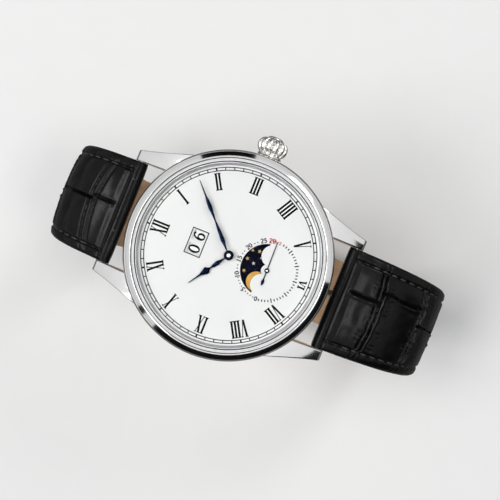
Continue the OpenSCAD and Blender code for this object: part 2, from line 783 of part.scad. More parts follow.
module cannon_pinion() {
    color("silver") difference() {
        union() {
            translate([0, 0, cannon_z]) pinion(cannon_r, 12, work_t);
            translate([0, 0, cannon_z])
                cylinder(r = centre_arbor_r, h = minute_hand_z + hand_t + 0.05 - cannon_z);
        }
        translate([0, 0, cannon_z - cut]) cylinder(r = arbor_r, h = 8);
    }
}
centre_wheel_z = plate_z - 0.45;
module centre_wheel() {
    color("gold") union() {
        translate([0, 0, centre_wheel_z]) wheel(centre_wheel_r, 64, 0.2, 1.2, 4, 0.2);
        translate([0, 0, train_z]) pinion(centre_pinion_r, 10, centre_wheel_z - train_z);
        translate([0, 0, centre_wheel_z]) cylinder(r = centre_arbor_r, h = cannon_z - centre_wheel_z);
        translate([0, 0, bridge_z + 0.55]) cylinder(r = arbor_r + 0.1, h = train_z - bridge_z);
        translate([0, 0, cannon_z]) cylinder(r = arbor_r, h = minute_hand_z + hand_t - cannon_z);
    }
}
module seconds_hand() {
    right = concat(
        [[0.02, -3.15], [0.42, -2.5], [0.1, -1.9], [needle, -0.6]],
        [[needle, 0.6], [0.04, seconds_len]]
    );
    color("midnightblue") at(fourth_at, seconds_hand_z) rotate(-seconds_angle) difference() {
        union() {
            blade(right, hand_t);
            cylinder(r = 0.55, h = hand_t);
        }
        translate([0, 0, -cut]) cylinder(r = seconds_arbor_r, h = 2);
    }
}
fourth_wheel_z = train_z + 0.85;
module fourth_wheel() {
    color("gold") at(fourth_at) union() {
        translate([0, 0, fourth_wheel_z]) wheel(fourth_wheel_r, 70, 0.18, 0.8, 4, 0.1);
        translate([0, 0, train_z]) pinion(fourth_pinion_r, 8, fourth_wheel_z - train_z);
        translate([0, 0, bridge_top + 0.05]) cylinder(r = arbor_r, h = plate_z - bridge_top - 0.1);
        translate([0, 0, bridge_z + 0.1]) cylinder(r = pivot_r, h = bridge_t);
        translate([0, 0, train_z]) cylinder(r = seconds_arbor_r, h = seconds_hand_z + hand_t - train_z);
    }
}
module minute_wheel() {
    color("gold") at(minute_wheel_at) difference() {
        union() {
            translate([0, 0, cannon_z]) wheel(minute_wheel_r, 36, work_t, 0.9, 4, arbor_r + run);
            translate([0, 0, cannon_z]) pinion(minute_pinion_r, 12, hour_wheel_z + work_t - cannon_z);
        }
        translate([0, 0, cannon_z - cut]) cylinder(r = arbor_r + run, h = 3);
    }
}
module third_wheel() {
    color("gold") at(third_at) union() {
        translate([0, 0, train_z - 0.1]) wheel(third_wheel_r, 60, 0.2, 0.8, 4, 0.1);
        translate([0, 0, train_z]) pinion(third_pinion_r, 8, plate_z - 0.15 - train_z);
        arbor(arbor_r, bridge_top + 0.03, plate_z - 0.03);
    }
}
escape_wheel_z = train_z + 0.25;
module escape_wheel() {
    n = 15;
    hook = 0.5;
    outline = [
        for (i = [0:n - 1]) for (k = [0:2])
        let (a = 24 * i + [0, 3, 14][k], q = [escape_wheel_r, escape_wheel_r, escape_wheel_r - hook][k])
        [q * cos(a), q * sin(a)]
    ];
    color("silver") at(escape_at) union() {
        translate([0, 0, escape_wheel_z]) linear_extrude(0.14) difference() {
            polygon(outline);
            difference() {
                circle(escape_wheel_r - hook - 0.3);
                circle(0.6);
                for (i = [0:3]) rotate(90 * i) translate([0, -0.15]) square([escape_wheel_r - hook, 0.3]);
            }
        }
        translate([0, 0, escape_wheel_z]) pinion(escape_pinion_r, 7, 1);
        arbor(arbor_r, bridge_top + 0.03, plate_z - 0.03);
    }
}
module pallet_fork() {
    to_wheel = escape_at - pallet_at;
    to_balance = balance_at - pallet_at;
    reach = norm(to_wheel) - escape_wheel_r - 0.15;
    color("silver") at(pallet_at) union() {
        translate([0, 0, escape_wheel_z]) {
            bar([0, 0], 2.2 * to_balance / norm(to_balance), 0.16, 0.14);
            for (s = [-1, 1]) rotate(atan2(to_wheel[1], to_wheel[0]) + s * 62)
                bar([0, 0], [reach * 2.2, 0], 0.16, 0.14);
        }
        arbor(arbor_r, pallet_bridge_z + pallet_bridge_t + 0.03, plate_z - 0.03);
    }
}
balance_z = bridge_z + 0.45;
module balance_wheel() {
    color("gold") at(balance_at) union() {
        translate([0, 0, balance_z]) linear_extrude(0.3) {
            difference() {
                circle(balance_r);
                circle(balance_r - 0.45);
            }
            for (i = [0:2]) rotate(120 * i) translate([0, -0.25]) square([balance_r - 0.2, 0.5]);
        }
        translate([0, 0, escape_wheel_z - 0.2]) cylinder(r = 0.7, h = 0.15);
        translate([0, 0, cock_z + cock_t + 0.03]) cylinder(r = arbor_r, h = plate_z - cock_z - cock_t - 0.06);
        translate([0, 0, cock_z + 0.1]) cylinder(r = pivot_r, h = plate_z + 0.2 - cock_z);
    }
}
module barrel() {
    color("gold") at(barrel_at) union() {
        translate([0, 0, barrel_z]) cylinder(r = barrel_r - 0.35, h = barrel_h);
        translate([0, 0, barrel_z + barrel_h - 0.35]) pinion(barrel_r, 70, 0.35);
        translate([0, 0, barrel_z]) cylinder(r = pivot_r, h = plate_z + 0.2 - barrel_z);
    }
}
module ratchet_wheel() {
    color("silver") at(barrel_at) union() {
        translate([0, 0, ratchet_z]) pinion(ratchet_r, 40, ratchet_t);
        translate([0, 0, ratchet_z]) cylinder(r = jewel_r, h = barrel_z - run - ratchet_z);
        translate([0, 0, ratchet_z - 0.12]) cylinder(r = 0.9, h = 0.12);
    }
}
module crown_wheel() {
    rim_w = 0.6;
    color("silver") at(crown_wheel_at) union() {
        translate([0, 0, ratchet_z]) pinion(crown_wheel_r, 30, ratchet_t);
        translate([0, 0, ratchet_z + ratchet_t])
            tube(crown_wheel_r - tooth_h, crown_wheel_r - tooth_h - rim_w,
                bridge_z + crown_wheel_rim - ratchet_z - ratchet_t - 0.08);
        translate([0, 0, ratchet_z + ratchet_t])
            cylinder(r = 0.5, h = bridge_z + crown_wheel_rim - ratchet_z - ratchet_t - 0.03);
    }
}
module rotor() {
    weight_in = rotor_r - 2.6;
    color("gold") difference() {
        union() {
            intersection() {
                translate([0, 0, rotor_z]) tube(rotor_r, weight_in, rotor_weight_t);
                translate([-rotor_r, -rotor_r, 0]) cube([2 * rotor_r, rotor_r - 0.6, 2 * rotor_z]);
            }
            intersection() {
                translate([0, 0, rotor_z]) difference() {
                    cylinder(r = weight_in + 0.1, h = rotor_arm_t);
                    for (s = [-1, 1]) translate([s * 5.2, -6.2, -cut]) cylinder(r = 2.9, h = 2);
                }
                translate([-rotor_r, -rotor_r, 0]) cube([2 * rotor_r, rotor_r, 2 * rotor_z]);
            }
            translate([0, 0, rotor_z]) cylinder(r = 2.6, h = rotor_arm_t);
        }
        translate([0, 0, -cut]) cylinder(r = bearing_r + run, h = 5);
    }
}
module date_disc(place) {
    color("white") at(place, disc_z) tube(date_disc_r, post_r + run, disc_t);
}
module date_units_disc() {
    date_disc(units_at);
}
module date_tens_disc() {
    date_disc(tens_at);
}
module moon_disc() {
    color("midnightblue") at(fourth_at, disc_z) tube(moon_disc_r, moon_tube_r + run, disc_t);
}

// The strap's two halves
function leather_rings_12() = [for (s = steps(buckle_half_len))
    leather_ring(buckle_route_at(s), strap_half_w(s), s)];
function leather_rings_6() = [
    for (s = steps(tail_half_len)) leather_ring(tail_route_at(s), strap_half_w(s) * tip_share(s), s)
];
lining_from = lug_roll_r + 0.05;
module on_route(spot) {
    translate([0, spot[0], spot[1]]) rotate([-spot[2], 0, 0]) children();
}
module across(spot, r, half_w) {
    translate([-half_w, spot[0], spot[1]]) rotate([0, 90, 0]) cylinder(r = r, h = 2 * half_w);
}
module strap_12_leather() {
    lug_end = buckle_route_at(0);
    buckle_end = buckle_route_at(buckle_half_len);
    color([0.06, 0.06, 0.06]) difference() {
        union() {
            sweep(leather_rings_12());
            across(lug_end, lug_roll_r, strap_w / 2);
            across(buckle_end, end_roll_r, strap_end_w / 2);
        }
        across(lug_end, bar_r + run, strap_w);
        across(buckle_end, buckle_bar_r + run, strap_w);
        on_route(buckle_end) translate([-slot_w / 2, -slot_len, -through])
            cube([slot_w, slot_len + through, 2 * through]);
    }
}
module strap_12_lining() {
    to = buckle_half_len - slot_len - 0.2;
    color("tan") sweep([
        for (s = lining_steps(to, steps(buckle_half_len))) lining_ring(buckle_route_at(s), strap_half_w(s))
    ]);
}
module holes_6() {
    for (i = [0:tail_holes - 1]) on_route(tail_route_at(tail_half_len - hole_first - hole_step * i))
        translate([0, 0, -through]) cylinder(r = tail_hole_d / 2, h = 2 * through, $fn = 32);
}
module strap_6_leather() {
    mirror([0, 1, 0]) color([0.06, 0.06, 0.06]) difference() {
        union() {
            sweep(leather_rings_6());
            across(tail_route_at(0), lug_roll_r, strap_w / 2);
        }
        across(tail_route_at(0), bar_r + run, strap_w);
        holes_6();
    }
}
module strap_6_lining() {
    mirror([0, 1, 0]) color("tan") difference() {
        sweep([
            for (s = lining_steps(tail_half_len, steps(tail_half_len)))
            lining_ring(tail_route_at(s), strap_half_w(s) * tip_share(s))
        ]);
        holes_6();
    }
}
// A leather loop round the strap, with room for the tail outside it
module keeper(half_w, room) {
    low = leather_low - lining_t - keeper_play + run;
    high = thin_h + room;
    corner = 0.8;
    color([0.07, 0.07, 0.07]) rotate([90, 0, 0]) translate([0, 0, -keeper_w / 2])
        linear_extrude(keeper_w) difference() {
        rounded(half_w + keeper_t, low - keeper_t, high + keeper_t, corner + 0.5);
        rounded(half_w, low, high, corner);
    }
}
module rounded(half_w, low, high, r) {
    for (s = [-1, 1]) for (v = [low + r, high - r]) translate([s * (half_w - r), v]) circle(r, $fn = 32);
    translate([-half_w + r, low]) square([2 * (half_w - r), high - low]);
    translate([-half_w, low + r]) square([2 * half_w, high - low - 2 * r]);
}
module fixed_keeper() {
    on_route(buckle_route_at(buckle_half_len - fixed_from_end))
        keeper(strap_end_w / 2 + keeper_play, keeper_room);
}
module free_keeper() {
    on_route(buckle_route_at(free_at)) keeper(strap_half_w(free_at - keeper_w) + keeper_play, keeper_room);
}

// The buckle turns on a bar in the end of the 12 o'clock half
buckle_at = buckle_route_at(buckle_half_len);
buckle_in = strap_end_w / 2 + frame_gap;
module in_buckle() {
    on_route(buckle_at) children();
}
module buckle_frame() {
    notch_t = 1.05;
    corner = 2.2;
    color("silver") in_buckle() difference() {
        translate([0, 0, -buckle_t / 2]) linear_extrude(buckle_t) difference() {
            union() {
                translate([-buckle_in - frame_w, -1.2])
                    square([2 * (buckle_in + frame_w), buckle_reach + 1.2 - corner]);
                translate([-buckle_in - frame_w + corner, 0])
                    square([2 * (buckle_in + frame_w - corner), buckle_reach]);
                for (s = [-1, 1]) translate([s * (buckle_in + frame_w - corner), buckle_reach - corner])
                    circle(corner);
            }
            translate([-buckle_in, -2]) square([2 * buckle_in, buckle_reach + 2 - frame_w]);
        }
        translate([-tongue_w / 2 - 0.15, buckle_reach - frame_w - cut, buckle_t / 2 - notch_t])
            cube([tongue_w + 0.3, frame_w + 2 * cut, notch_t + cut]);
        translate([-buckle_in - 1.3, 0, 0]) rotate([0, 90, 0])
            cylinder(r = buckle_bar_r - 0.15 + run, h = 2 * (buckle_in + 1.3));
    }
}
module buckle_spring_bar() {
    color("silver") in_buckle() rotate([0, 90, 0]) union() {
        translate([0, 0, -buckle_in + 0.1]) cylinder(r = buckle_bar_r, h = 2 * (buckle_in - 0.1));
        translate([0, 0, -buckle_in - 1.2]) cylinder(r = buckle_bar_r - 0.15, h = 2 * (buckle_in + 1.2));
    }
}
module buckle_tongue() {
    tongue_t = 1;
    eye_r = buckle_bar_r + 0.55;
    color("silver") in_buckle() difference() {
        union() {
            translate([-tongue_w / 2, 0, 0]) rotate([0, 90, 0]) cylinder(r = eye_r, h = tongue_w);
            translate([-tongue_w / 2, 0.4, buckle_t / 2 - tongue_t])
                cube([tongue_w, buckle_reach - 0.6, tongue_t]);
        }
        translate([-tongue_w, 0, 0]) rotate([0, 90, 0]) cylinder(r = buckle_bar_r + run, h = 2 * tongue_w);
    }
}

mid_case();
bezel();
crystal();
crystal_gasket();
case_back();
back_window();
back_gasket();
crown_tube();
movement_ring();
flange_ring();
dial();
date_window_frame();
main_plate();
barrel_bridge();
train_bridge();
balance_cock();
pallet_bridge();
bridge_screws();
jewels();
casing_clamps();
rotor_bearing();
hairspring();
spring_bar_12();
spring_bar_6();
crown_gasket();
crown();
winding_stem();
winding_pinion();
hour_hand();
hour_wheel();
minute_hand();
cannon_pinion();
centre_wheel();
seconds_hand();
fourth_wheel();
minute_wheel();
third_wheel();
escape_wheel();
pallet_fork();
balance_wheel();
barrel();
ratchet_wheel();
crown_wheel();
rotor();
date_units_disc();
date_tens_disc();
moon_disc();
strap_12_leather();
strap_12_lining();
strap_6_leather();
strap_6_lining();
fixed_keeper();
free_keeper();
buckle_frame();
buckle_spring_bar();
buckle_tongue();
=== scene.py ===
import json
from math import cos, dist, exp, pi, radians, sin, sqrt
import bpy
import bmesh
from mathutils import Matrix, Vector, noise


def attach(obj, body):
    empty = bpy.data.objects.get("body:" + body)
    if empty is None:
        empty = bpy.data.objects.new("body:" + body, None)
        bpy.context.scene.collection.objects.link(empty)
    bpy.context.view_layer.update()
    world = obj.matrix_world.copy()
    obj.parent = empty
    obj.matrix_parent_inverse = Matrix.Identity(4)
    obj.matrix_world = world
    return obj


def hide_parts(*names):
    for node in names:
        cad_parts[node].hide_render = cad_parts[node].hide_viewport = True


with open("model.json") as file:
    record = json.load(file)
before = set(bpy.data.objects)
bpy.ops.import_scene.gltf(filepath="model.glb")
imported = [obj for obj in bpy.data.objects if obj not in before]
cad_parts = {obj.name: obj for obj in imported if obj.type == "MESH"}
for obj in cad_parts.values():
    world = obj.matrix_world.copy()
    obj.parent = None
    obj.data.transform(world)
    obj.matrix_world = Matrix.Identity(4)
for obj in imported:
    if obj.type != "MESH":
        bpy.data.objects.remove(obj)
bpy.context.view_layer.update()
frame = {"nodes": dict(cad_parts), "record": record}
nodes = frame["nodes"]
mm = 0.001
print("frame loaded,", len(nodes), "solids")


# gives each input a value, or another node's output
def setInputs(tree, node, inputs):
    for label, value in inputs.items():
        if isinstance(value, bpy.types.NodeSocket):
            tree.links.new(value, node.inputs[label])
        else:
            node.inputs[label].default_value = value


# adds a node at the end of the tree's row
def rowNode(tree, kind):
    node = tree.nodes.new(kind)
    node.location = (220 * len(tree.nodes) - 1500, -500)
    return node


# a shader node with its settings and inputs, handed back as its outputs
def putNode(tree, kind, inputs=None, **settings):
    node = rowNode(tree, "ShaderNode" + kind)
    for key, value in settings.items():
        setattr(node, key, value)
    setInputs(tree, node, inputs or {})
    return node.outputs


def mathNode(tree, operation, a, b):
    return putNode(tree, "Math", {0: a, 1: b}, operation=operation)[0]


def newGroup(name, *labels):
    group = bpy.data.node_groups.new(name, "ShaderNodeTree")
    for label in labels:
        group.interface.new_socket(label, in_out="INPUT", socket_type="NodeSocketFloat").default_value = 1.0
    return group, rowNode(group, "NodeGroupInput").outputs


def closeGroup(group, results):
    for label in results:
        group.interface.new_socket(label, in_out="OUTPUT", socket_type="NodeSocketFloat")
    setInputs(group, rowNode(group, "NodeGroupOutput"), results)
    return group


# the place on the object in millimetres, times the group's Scale
def scaledPlace(group, start):
    place = putNode(group, "TexCoord")["Object"]
    scale = mathNode(group, "MULTIPLY", start["Scale"], 1000.0)
    return putNode(group, "VectorMath", {0: place, "Scale": scale}, operation="SCALE")[0]


# fine marks that every metal and lacquer carries: a height and a change of gloss
def makeHandlingMarks():
    group, start = newGroup("handlingMarks", "Scale", "Stretch")
    place = scaledPlace(group, start)
    squeeze = putNode(group, "CombineXYZ", {"X": start["Stretch"], "Y": 1.0, "Z": 1.0})[0]
    pulled = putNode(group, "VectorMath", {0: place, 1: squeeze}, operation="MULTIPLY")[0]
    fine = putNode(group, "TexNoise", {"Vector": pulled, "Scale": 9.0, "Detail": 5.0})[0]
    broad = putNode(group, "TexNoise", {"Vector": place, "Scale": 0.35, "Detail": 3.0})[0]
    scuffs, patches = mathNode(group, "MULTIPLY", fine, 0.45), mathNode(group, "MULTIPLY", broad, 0.55)
    return closeGroup(group, {"Height": fine, "Gloss": mathNode(group, "ADD", scuffs, patches)})


# pebbled leather: pores and fine wrinkles as a height, and a patchy tone
def makeLeatherGrain():
    group, start = newGroup("leatherGrain", "Scale")
    place = scaledPlace(group, start)
    cells = putNode(group, "TexVoronoi", {"Vector": place, "Scale": 2.2}, feature="SMOOTH_F1")[0]
    wrinkle = putNode(group, "TexNoise", {"Vector": place, "Scale": 1.6, "Detail": 8.0})[0]
    patch = putNode(group, "TexNoise", {"Vector": place, "Scale": 0.22})[0]
    height = mathNode(group, "ADD", mathNode(group, "MULTIPLY", cells, 0.5), wrinkle)
    return closeGroup(group, {"Height": height, "Tone": patch})


handlingMarks = makeHandlingMarks()
leatherGrain = makeLeatherGrain()


# a value that runs from start to end, spread from low to high
def spread(tree, value, low, high, start=0.3, end=0.7):
    span = {"Value": value, "From Min": start, "From Max": end, "To Min": low, "To Max": high}
    return putNode(tree, "MapRange", span)[0]


def newMaterial(name):
    material = bpy.data.materials.new(name)
    material.use_nodes = True
    return material, material.node_tree, material.node_tree.nodes["Principled BSDF"]


# a surface between two close colours, with marks in its gloss and height; relief and edge are in mm
def coat(name, low, high, gloss, metal=0.0, group=None, scale=1.0, stretch=1.0, relief=0.02,
         edge=0.0, **sockets):
    material, tree, surface = newMaterial(name)
    sizes = {"Scale": scale} if group else {"Scale": scale, "Stretch": stretch}
    marks = putNode(tree, "Group", sizes, node_tree=group or handlingMarks)
    tone = marks["Tone" if group else "Gloss"]
    colours = {"Factor": spread(tree, tone, 0.0, 1.0), "A": (*low, 1), "B": (*high, 1)}
    bump = {"Height": marks["Height"], "Strength": 1.0, "Distance": relief * mm}
    if edge:
        bump["Normal"] = putNode(tree, "Bevel", {"Radius": edge * mm}, samples=4)[0]
    setInputs(tree, surface, {
        "Base Color": putNode(tree, "Mix", colours, data_type="RGBA")["Result"],
        "Roughness": spread(tree, tone, *gloss), "Metallic": metal,
        "Normal": putNode(tree, "Bump", bump)[0],
        **{label.replace("_", " "): value for label, value in sockets.items()}})
    return material


# striped bridges: broad parallel waves across the plates
def stripedCoat(name, low, high, width, turn):
    material = coat(name, low, high, (0.22, 0.34), 1.0, scale=1.5, stretch=0.15, relief=0.003, edge=0.05)
    tree = material.node_tree
    surface = tree.nodes["Principled BSDF"]
    place = putNode(tree, "TexCoord")["Object"]
    laid = {"Vector": place, "Rotation": (0, 0, radians(turn)), "Scale": (1 / (width * mm),) * 3}
    across = putNode(tree, "Mapping", laid)[0]
    bands = {"wave_type": "BANDS", "bands_direction": "X", "wave_profile": "SAW"}
    wave = putNode(tree, "TexWave", {"Vector": across, "Scale": 0.31831}, **bands)["Fac"]
    under = surface.inputs["Normal"].links[0].from_socket
    stripes = {"Height": wave, "Strength": 1.0, "Distance": 0.12 * mm, "Normal": under}
    setInputs(tree, surface, {"Normal": putNode(tree, "Bump", stripes)[0]})
    return material


# coated glass: it lets shadow and diffuse rays through, so that the dial stays lit
def glassCoat(name, tint):
    material, tree, surface = newMaterial(name)
    marks = putNode(tree, "Group", node_tree=handlingMarks)["Height"]
    bump = putNode(tree, "Bump", {"Height": marks, "Distance": 0.0004 * mm})[0]
    setInputs(tree, surface, {"Base Color": (*tint, 1), "Roughness": 0.0, "IOR": 1.06,
                              "Transmission Weight": 1.0, "Normal": bump})
    clear = putNode(tree, "BsdfTransparent")[0]
    rays = putNode(tree, "LightPath")
    passing = mathNode(tree, "MAXIMUM", rays["Is Shadow Ray"], rays["Is Diffuse Ray"])
    mix = putNode(tree, "MixShader", {0: passing, 1: surface.outputs[0], 2: clear})[0]
    setInputs(tree, tree.nodes["Material Output"], {"Surface": mix})
    return material


# the finish of each slot
finish = {
    "polished_steel": coat("polishedSteel", (0.82, 0.81, 0.8), (0.88, 0.87, 0.86), (0.06, 0.11), 1.0,
        relief=0.0004),
    "brushed_steel": coat("brushedSteel", (0.6, 0.61, 0.62), (0.7, 0.7, 0.71), (0.24, 0.34), 1.0,
        scale=1.3, stretch=0.1, relief=0.004, edge=0.06),
    "sapphire": glassCoat("sapphire", (0.985, 0.99, 0.99)),
    "black_rubber": coat("blackRubber", (0.02, 0.02, 0.02), (0.04, 0.04, 0.04), (0.6, 0.75)),
    "white_nylon": coat("whiteNylon", (0.75, 0.75, 0.73), (0.83, 0.83, 0.8), (0.4, 0.5)),
    "dial_white": coat("dialLacquer", (0.83, 0.83, 0.82), (0.86, 0.86, 0.85), (0.3, 0.4), scale=0.6,
        relief=0.0015, Coat_Weight=0.25, Coat_Roughness=0.1),
    "blued_steel": coat("bluedSteel", (0.0012, 0.003, 0.01), (0.003, 0.007, 0.022), (0.2, 0.3), 1.0,
        relief=0.001),
    "black_lacquer": coat("blackLacquer", (0.008, 0.008, 0.009), (0.014, 0.014, 0.015), (0.35, 0.45),
        Specular_IOR_Level=0.03),
    "rhodium_plate": stripedCoat("stripedRhodium", (0.6, 0.6, 0.59), (0.72, 0.71, 0.69), 2.4, 35),
    "gilt_brass": coat("giltBrass", (0.72, 0.52, 0.2), (0.84, 0.64, 0.3), (0.2, 0.3), 1.0,
        scale=2.0, stretch=0.2, relief=0.002, edge=0.03),
    "watch_steel": coat("watchSteel", (0.56, 0.57, 0.59), (0.68, 0.69, 0.7), (0.16, 0.26), 1.0,
        scale=2.0, stretch=0.3, relief=0.002, edge=0.03),
    "ruby": coat("ruby", (0.45, 0.01, 0.06), (0.62, 0.03, 0.12), (0.04, 0.08), Coat_Weight=0.6),
    "disc_white": coat("discWhite", (0.92, 0.92, 0.91), (0.95, 0.95, 0.94), (0.45, 0.55)),
    "disc_navy": coat("discNavy", (0.001, 0.0015, 0.006), (0.002, 0.003, 0.011), (0.4, 0.5),
        scale=3.0, Specular_IOR_Level=0.03),
    "rotor_metal": coat("rotorGilt", (0.7, 0.52, 0.26), (0.82, 0.64, 0.36), (0.24, 0.34), 1.0,
        stretch=0.08, relief=0.004, edge=0.06),
    "strap_leather": coat("blackLeather", (0.0022, 0.0022, 0.0025), (0.005, 0.0048, 0.005), (0.2, 0.3),
        group=leatherGrain, relief=0.018, Specular_IOR_Level=0.12),
    "lining_leather": coat("tanLining", (0.36, 0.22, 0.12), (0.52, 0.34, 0.2), (0.62, 0.78),
        group=leatherGrain, scale=1.8, relief=0.03),
}
threadBlack = coat("waxedThread", (0.01, 0.01, 0.011), (0.03, 0.03, 0.032), (0.45, 0.6), scale=4.0,
    relief=0.03)
inkBlack = coat("printedBlack", (0.002, 0.002, 0.0025), (0.004, 0.004, 0.005), (0.4, 0.5),
    Specular_IOR_Level=0.03)
crownSteel = coat("satinCrown", (0.7, 0.69, 0.66), (0.8, 0.78, 0.75), (0.17, 0.24), 1.0, relief=0.0008)
satinSlope = coat("satinSlope", (0.44, 0.44, 0.45), (0.52, 0.51, 0.51), (0.4, 0.5), 1.0, relief=0.0008)
inkRed = coat("printedRed", (0.6, 0.012, 0.015), (0.68, 0.02, 0.02), (0.4, 0.5), Specular_IOR_Level=0.1)
greyCard = coat("greyCard", (0.17, 0.17, 0.17), (0.19, 0.19, 0.19), (0.7, 0.8), Specular_IOR_Level=0.0)
starWhite = coat("starWhite", (0.78, 0.78, 0.74), (0.86, 0.86, 0.82), (0.4, 0.5))
goldLeaf = coat("goldLeaf", (0.44, 0.22, 0.025), (0.66, 0.37, 0.06), (0.35, 0.5), 0.25, scale=2.5,
    relief=0.006)
starGold = coat("starGold", (0.78, 0.52, 0.16), (0.88, 0.64, 0.26), (0.35, 0.5), 0.1, scale=2.5)

slotOf = {part["node"]: part["material_slot"] for part in frame["record"]["subparts"]}
for name, node in nodes.items():
    node.data.materials.clear()
    node.data.materials.append(finish[slotOf[name]])
print("finishes made,", len(bpy.data.materials))


# runs a step of bmesh on a mesh
def editMesh(mesh, step):
    shell = bmesh.new()
    shell.from_mesh(mesh)
    step(shell)
    shell.to_mesh(mesh)
    shell.free()


def faceOut(shell):
    bmesh.ops.recalc_face_normals(shell, faces=shell.faces)


def weld(shell):
    bmesh.ops.remove_doubles(shell, verts=shell.verts, dist=1e-6)


def weldFlat(shell):
    weld(shell)
    bmesh.ops.dissolve_limit(shell, angle_limit=radians(0.6), verts=shell.verts, edges=shell.edges)


# a mesh from points in millimetres in the part's own frame
def closedMesh(name, shell):
    points, faces = shell
    mesh = bpy.data.meshes.new(name)
    mesh.from_pydata([tuple(c * mm for c in p) for p in points], [], faces)
    editMesh(mesh, faceOut)
    return mesh


def addObject(name, data):
    thing = bpy.data.objects.new(name, data)
    bpy.context.scene.collection.objects.link(thing)
    return thing


# a piece on its body, in its slot's finish unless another is given
def makePiece(name, shell, slotName, body="case", sharp=35, stands=(), material=None):
    mesh = closedMesh(name, shell)
    mesh.shade_smooth()
    mesh.set_sharp_from_angle(angle=radians(sharp))
    mesh.materials.append(material or finish[slotName])
    piece = addObject(name, mesh)
    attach(piece, body)
    if stands:
        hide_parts(*stands)
    return piece


# takes the cutters' shapes out of a piece, and drops the cutters
def cutPiece(piece, cutters):
    tools = []
    for cutter in cutters:
        tool = addObject("cutter", closedMesh("cutter", cutter))
        tools.append(tool)
        cut = piece.modifiers.new("cut", "BOOLEAN")
        cut.operation, cut.solver, cut.object = "DIFFERENCE", "EXACT", tool
    bpy.context.view_layer.update()
    whole = bpy.data.meshes.new_from_object(piece.evaluated_get(bpy.context.evaluated_depsgraph_get()))
    piece.modifiers.clear()
    piece.data = whole
    for tool in tools:
        bpy.data.objects.remove(tool)
    piece.data.shade_smooth()
    piece.data.set_sharp_from_angle(angle=radians(35))


def joinShells(shells):
    points, faces = [], []
    for shellPoints, shellFaces in shells:
        base = len(points)
        points += list(shellPoints)
        faces += [[base + i for i in face] for face in shellFaces]
    return points, faces


# rings of equal length joined into a skin: in a loop, or with both ends capped
def skin(rings, loop=False):
    n, count = len(rings[0]), len(rings)
    faces = []
    for i in range(count if loop else count - 1):
        a, b = i * n, (i + 1) % count * n
        faces += [[a + k, a + (k + 1) % n, b + (k + 1) % n, b + k] for k in range(n)]
    if not loop:
        faces += [list(range(n))[::-1], [(count - 1) * n + k for k in range(n)]]
    return [p for ring in rings for p in ring], faces


def circle(middle, r, steps):
    turns = [2 * pi * i / steps for i in range(steps)]
    return [(middle[0] + r * cos(a), middle[1] + r * sin(a)) for a in turns]


# a closed profile of (radius, height) turned about an upright axis
def turned(profile, steps=192, about=(0, 0)):
    rings = []
    for i in range(steps):
        a = 2 * pi * i / steps
        rings.append([(about[0] + r * cos(a), about[1] + r * sin(a), z) for r, z in profile])
    return skin(rings, loop=True)


# corner points (r, z, rounding) with each corner turned into a small arc
def roundedProfile(corners, steps=5):
    out = []
    for i, (r, z, cut) in enumerate(corners):
        here = Vector((r, z))
        if cut <= 0:
            out.append((r, z))
            continue
        before = Vector(corners[i - 1][:2]) - here
        after = Vector(corners[(i + 1) % len(corners)][:2]) - here
        a, b = here + before.normalized() * cut, here + after.normalized() * cut
        for k in range(steps + 1):
            t = k / steps
            p = a * (1 - t) ** 2 + here * 2 * t * (1 - t) + b * t ** 2
            out.append((p.x, p.y))
    return out


# a round bar of radius r and half length along x, y or z
def bar(middle, along, r, half):
    rings = []
    for end in (-half, half):
        offsets = [(*o[:along], end, *o[along:]) for o in circle((0, 0), r, 48)]
        rings.append([tuple(m + c for m, c in zip(middle, o)) for o in offsets])
    return skin(rings)


# a point at a dial angle, clockwise from 12, and a distance out and aside
def clockPoint(angle, r, side=0.0, middle=(0, 0)):
    a = radians(angle)
    return (middle[0] + r * sin(a) + side * cos(a), middle[1] + r * cos(a) - side * sin(a))


def ease(t):
    t = min(1.0, max(0.0, t))
    return t * t * (3 - 2 * t)


def bell(d, width, power=2):
    return exp(-(d / width) ** power)


def grain(x, y, z):
    return noise.noise(Vector((x, y, z)))


# middle case and lugs
case = {"boreR": 18.7, "lowZ": 1.2, "topZ": 8.8, "lowR": 20.2, "flankR": 20.6, "stemZ": 5.0, "stemR": 1.3,
        "lugIn": 11.1, "lugTipX": 13.3, "lugTipY": 25.3, "lugTipR": 1.5, "lugFrom": 11, "rootX": 16.85,
        "barY": 24.0, "barZ": 2.9, "barHoleR": 0.5}


# the outline of a lug where it is cut across at y
def lugRing(y):
    tipY, tipZ, inX = case["lugTipY"] - case["lugTipR"], case["barZ"] - 0.4, case["lugIn"]
    t = max(0.0, (case["lugTipY"] - 0.2 - y) / (case["lugTipY"] - 11.7))
    outX = case["lugTipX"] + (case["rootX"] - case["lugTipX"]) * t ** 1.25
    topZ = 8.0 if y < 15 else 8.0 - 3.9 * min(1.0, (y - 15) / 9.7) ** 1.3
    lowZ = 1.5 - 0.3 * (y - 15) / 3 if y < 18 else 1.2 - 0.4 * (y - 18) / 5.7
    if y > 24.7:
        topZ = 4.1 - 0.64 * (y - 24.7) / 0.25
    if y > tipY:
        dome = sqrt(max(0.0, case["lugTipR"] ** 2 - (y - tipY) ** 2))
        topZ = min(topZ, tipZ + dome + (1.5 if y < 24.95 else 0))
        lowZ = max(lowZ, tipZ - dome)
    cut = min(0.28, (topZ - lowZ) * 0.45, (outX - inX) * 0.45)
    ring = []
    left, right, low, top = inX + cut, outX - cut, lowZ + cut, topZ - cut
    for cx, cz, start in ((right, top, 0), (left, top, 90), (left, low, 180), (right, low, 270)):
        for k in range(5):
            a = radians(start + 90 * k / 4)
            ring.append((cx + cut * cos(a), y, cz + cut * sin(a)))
    return ring


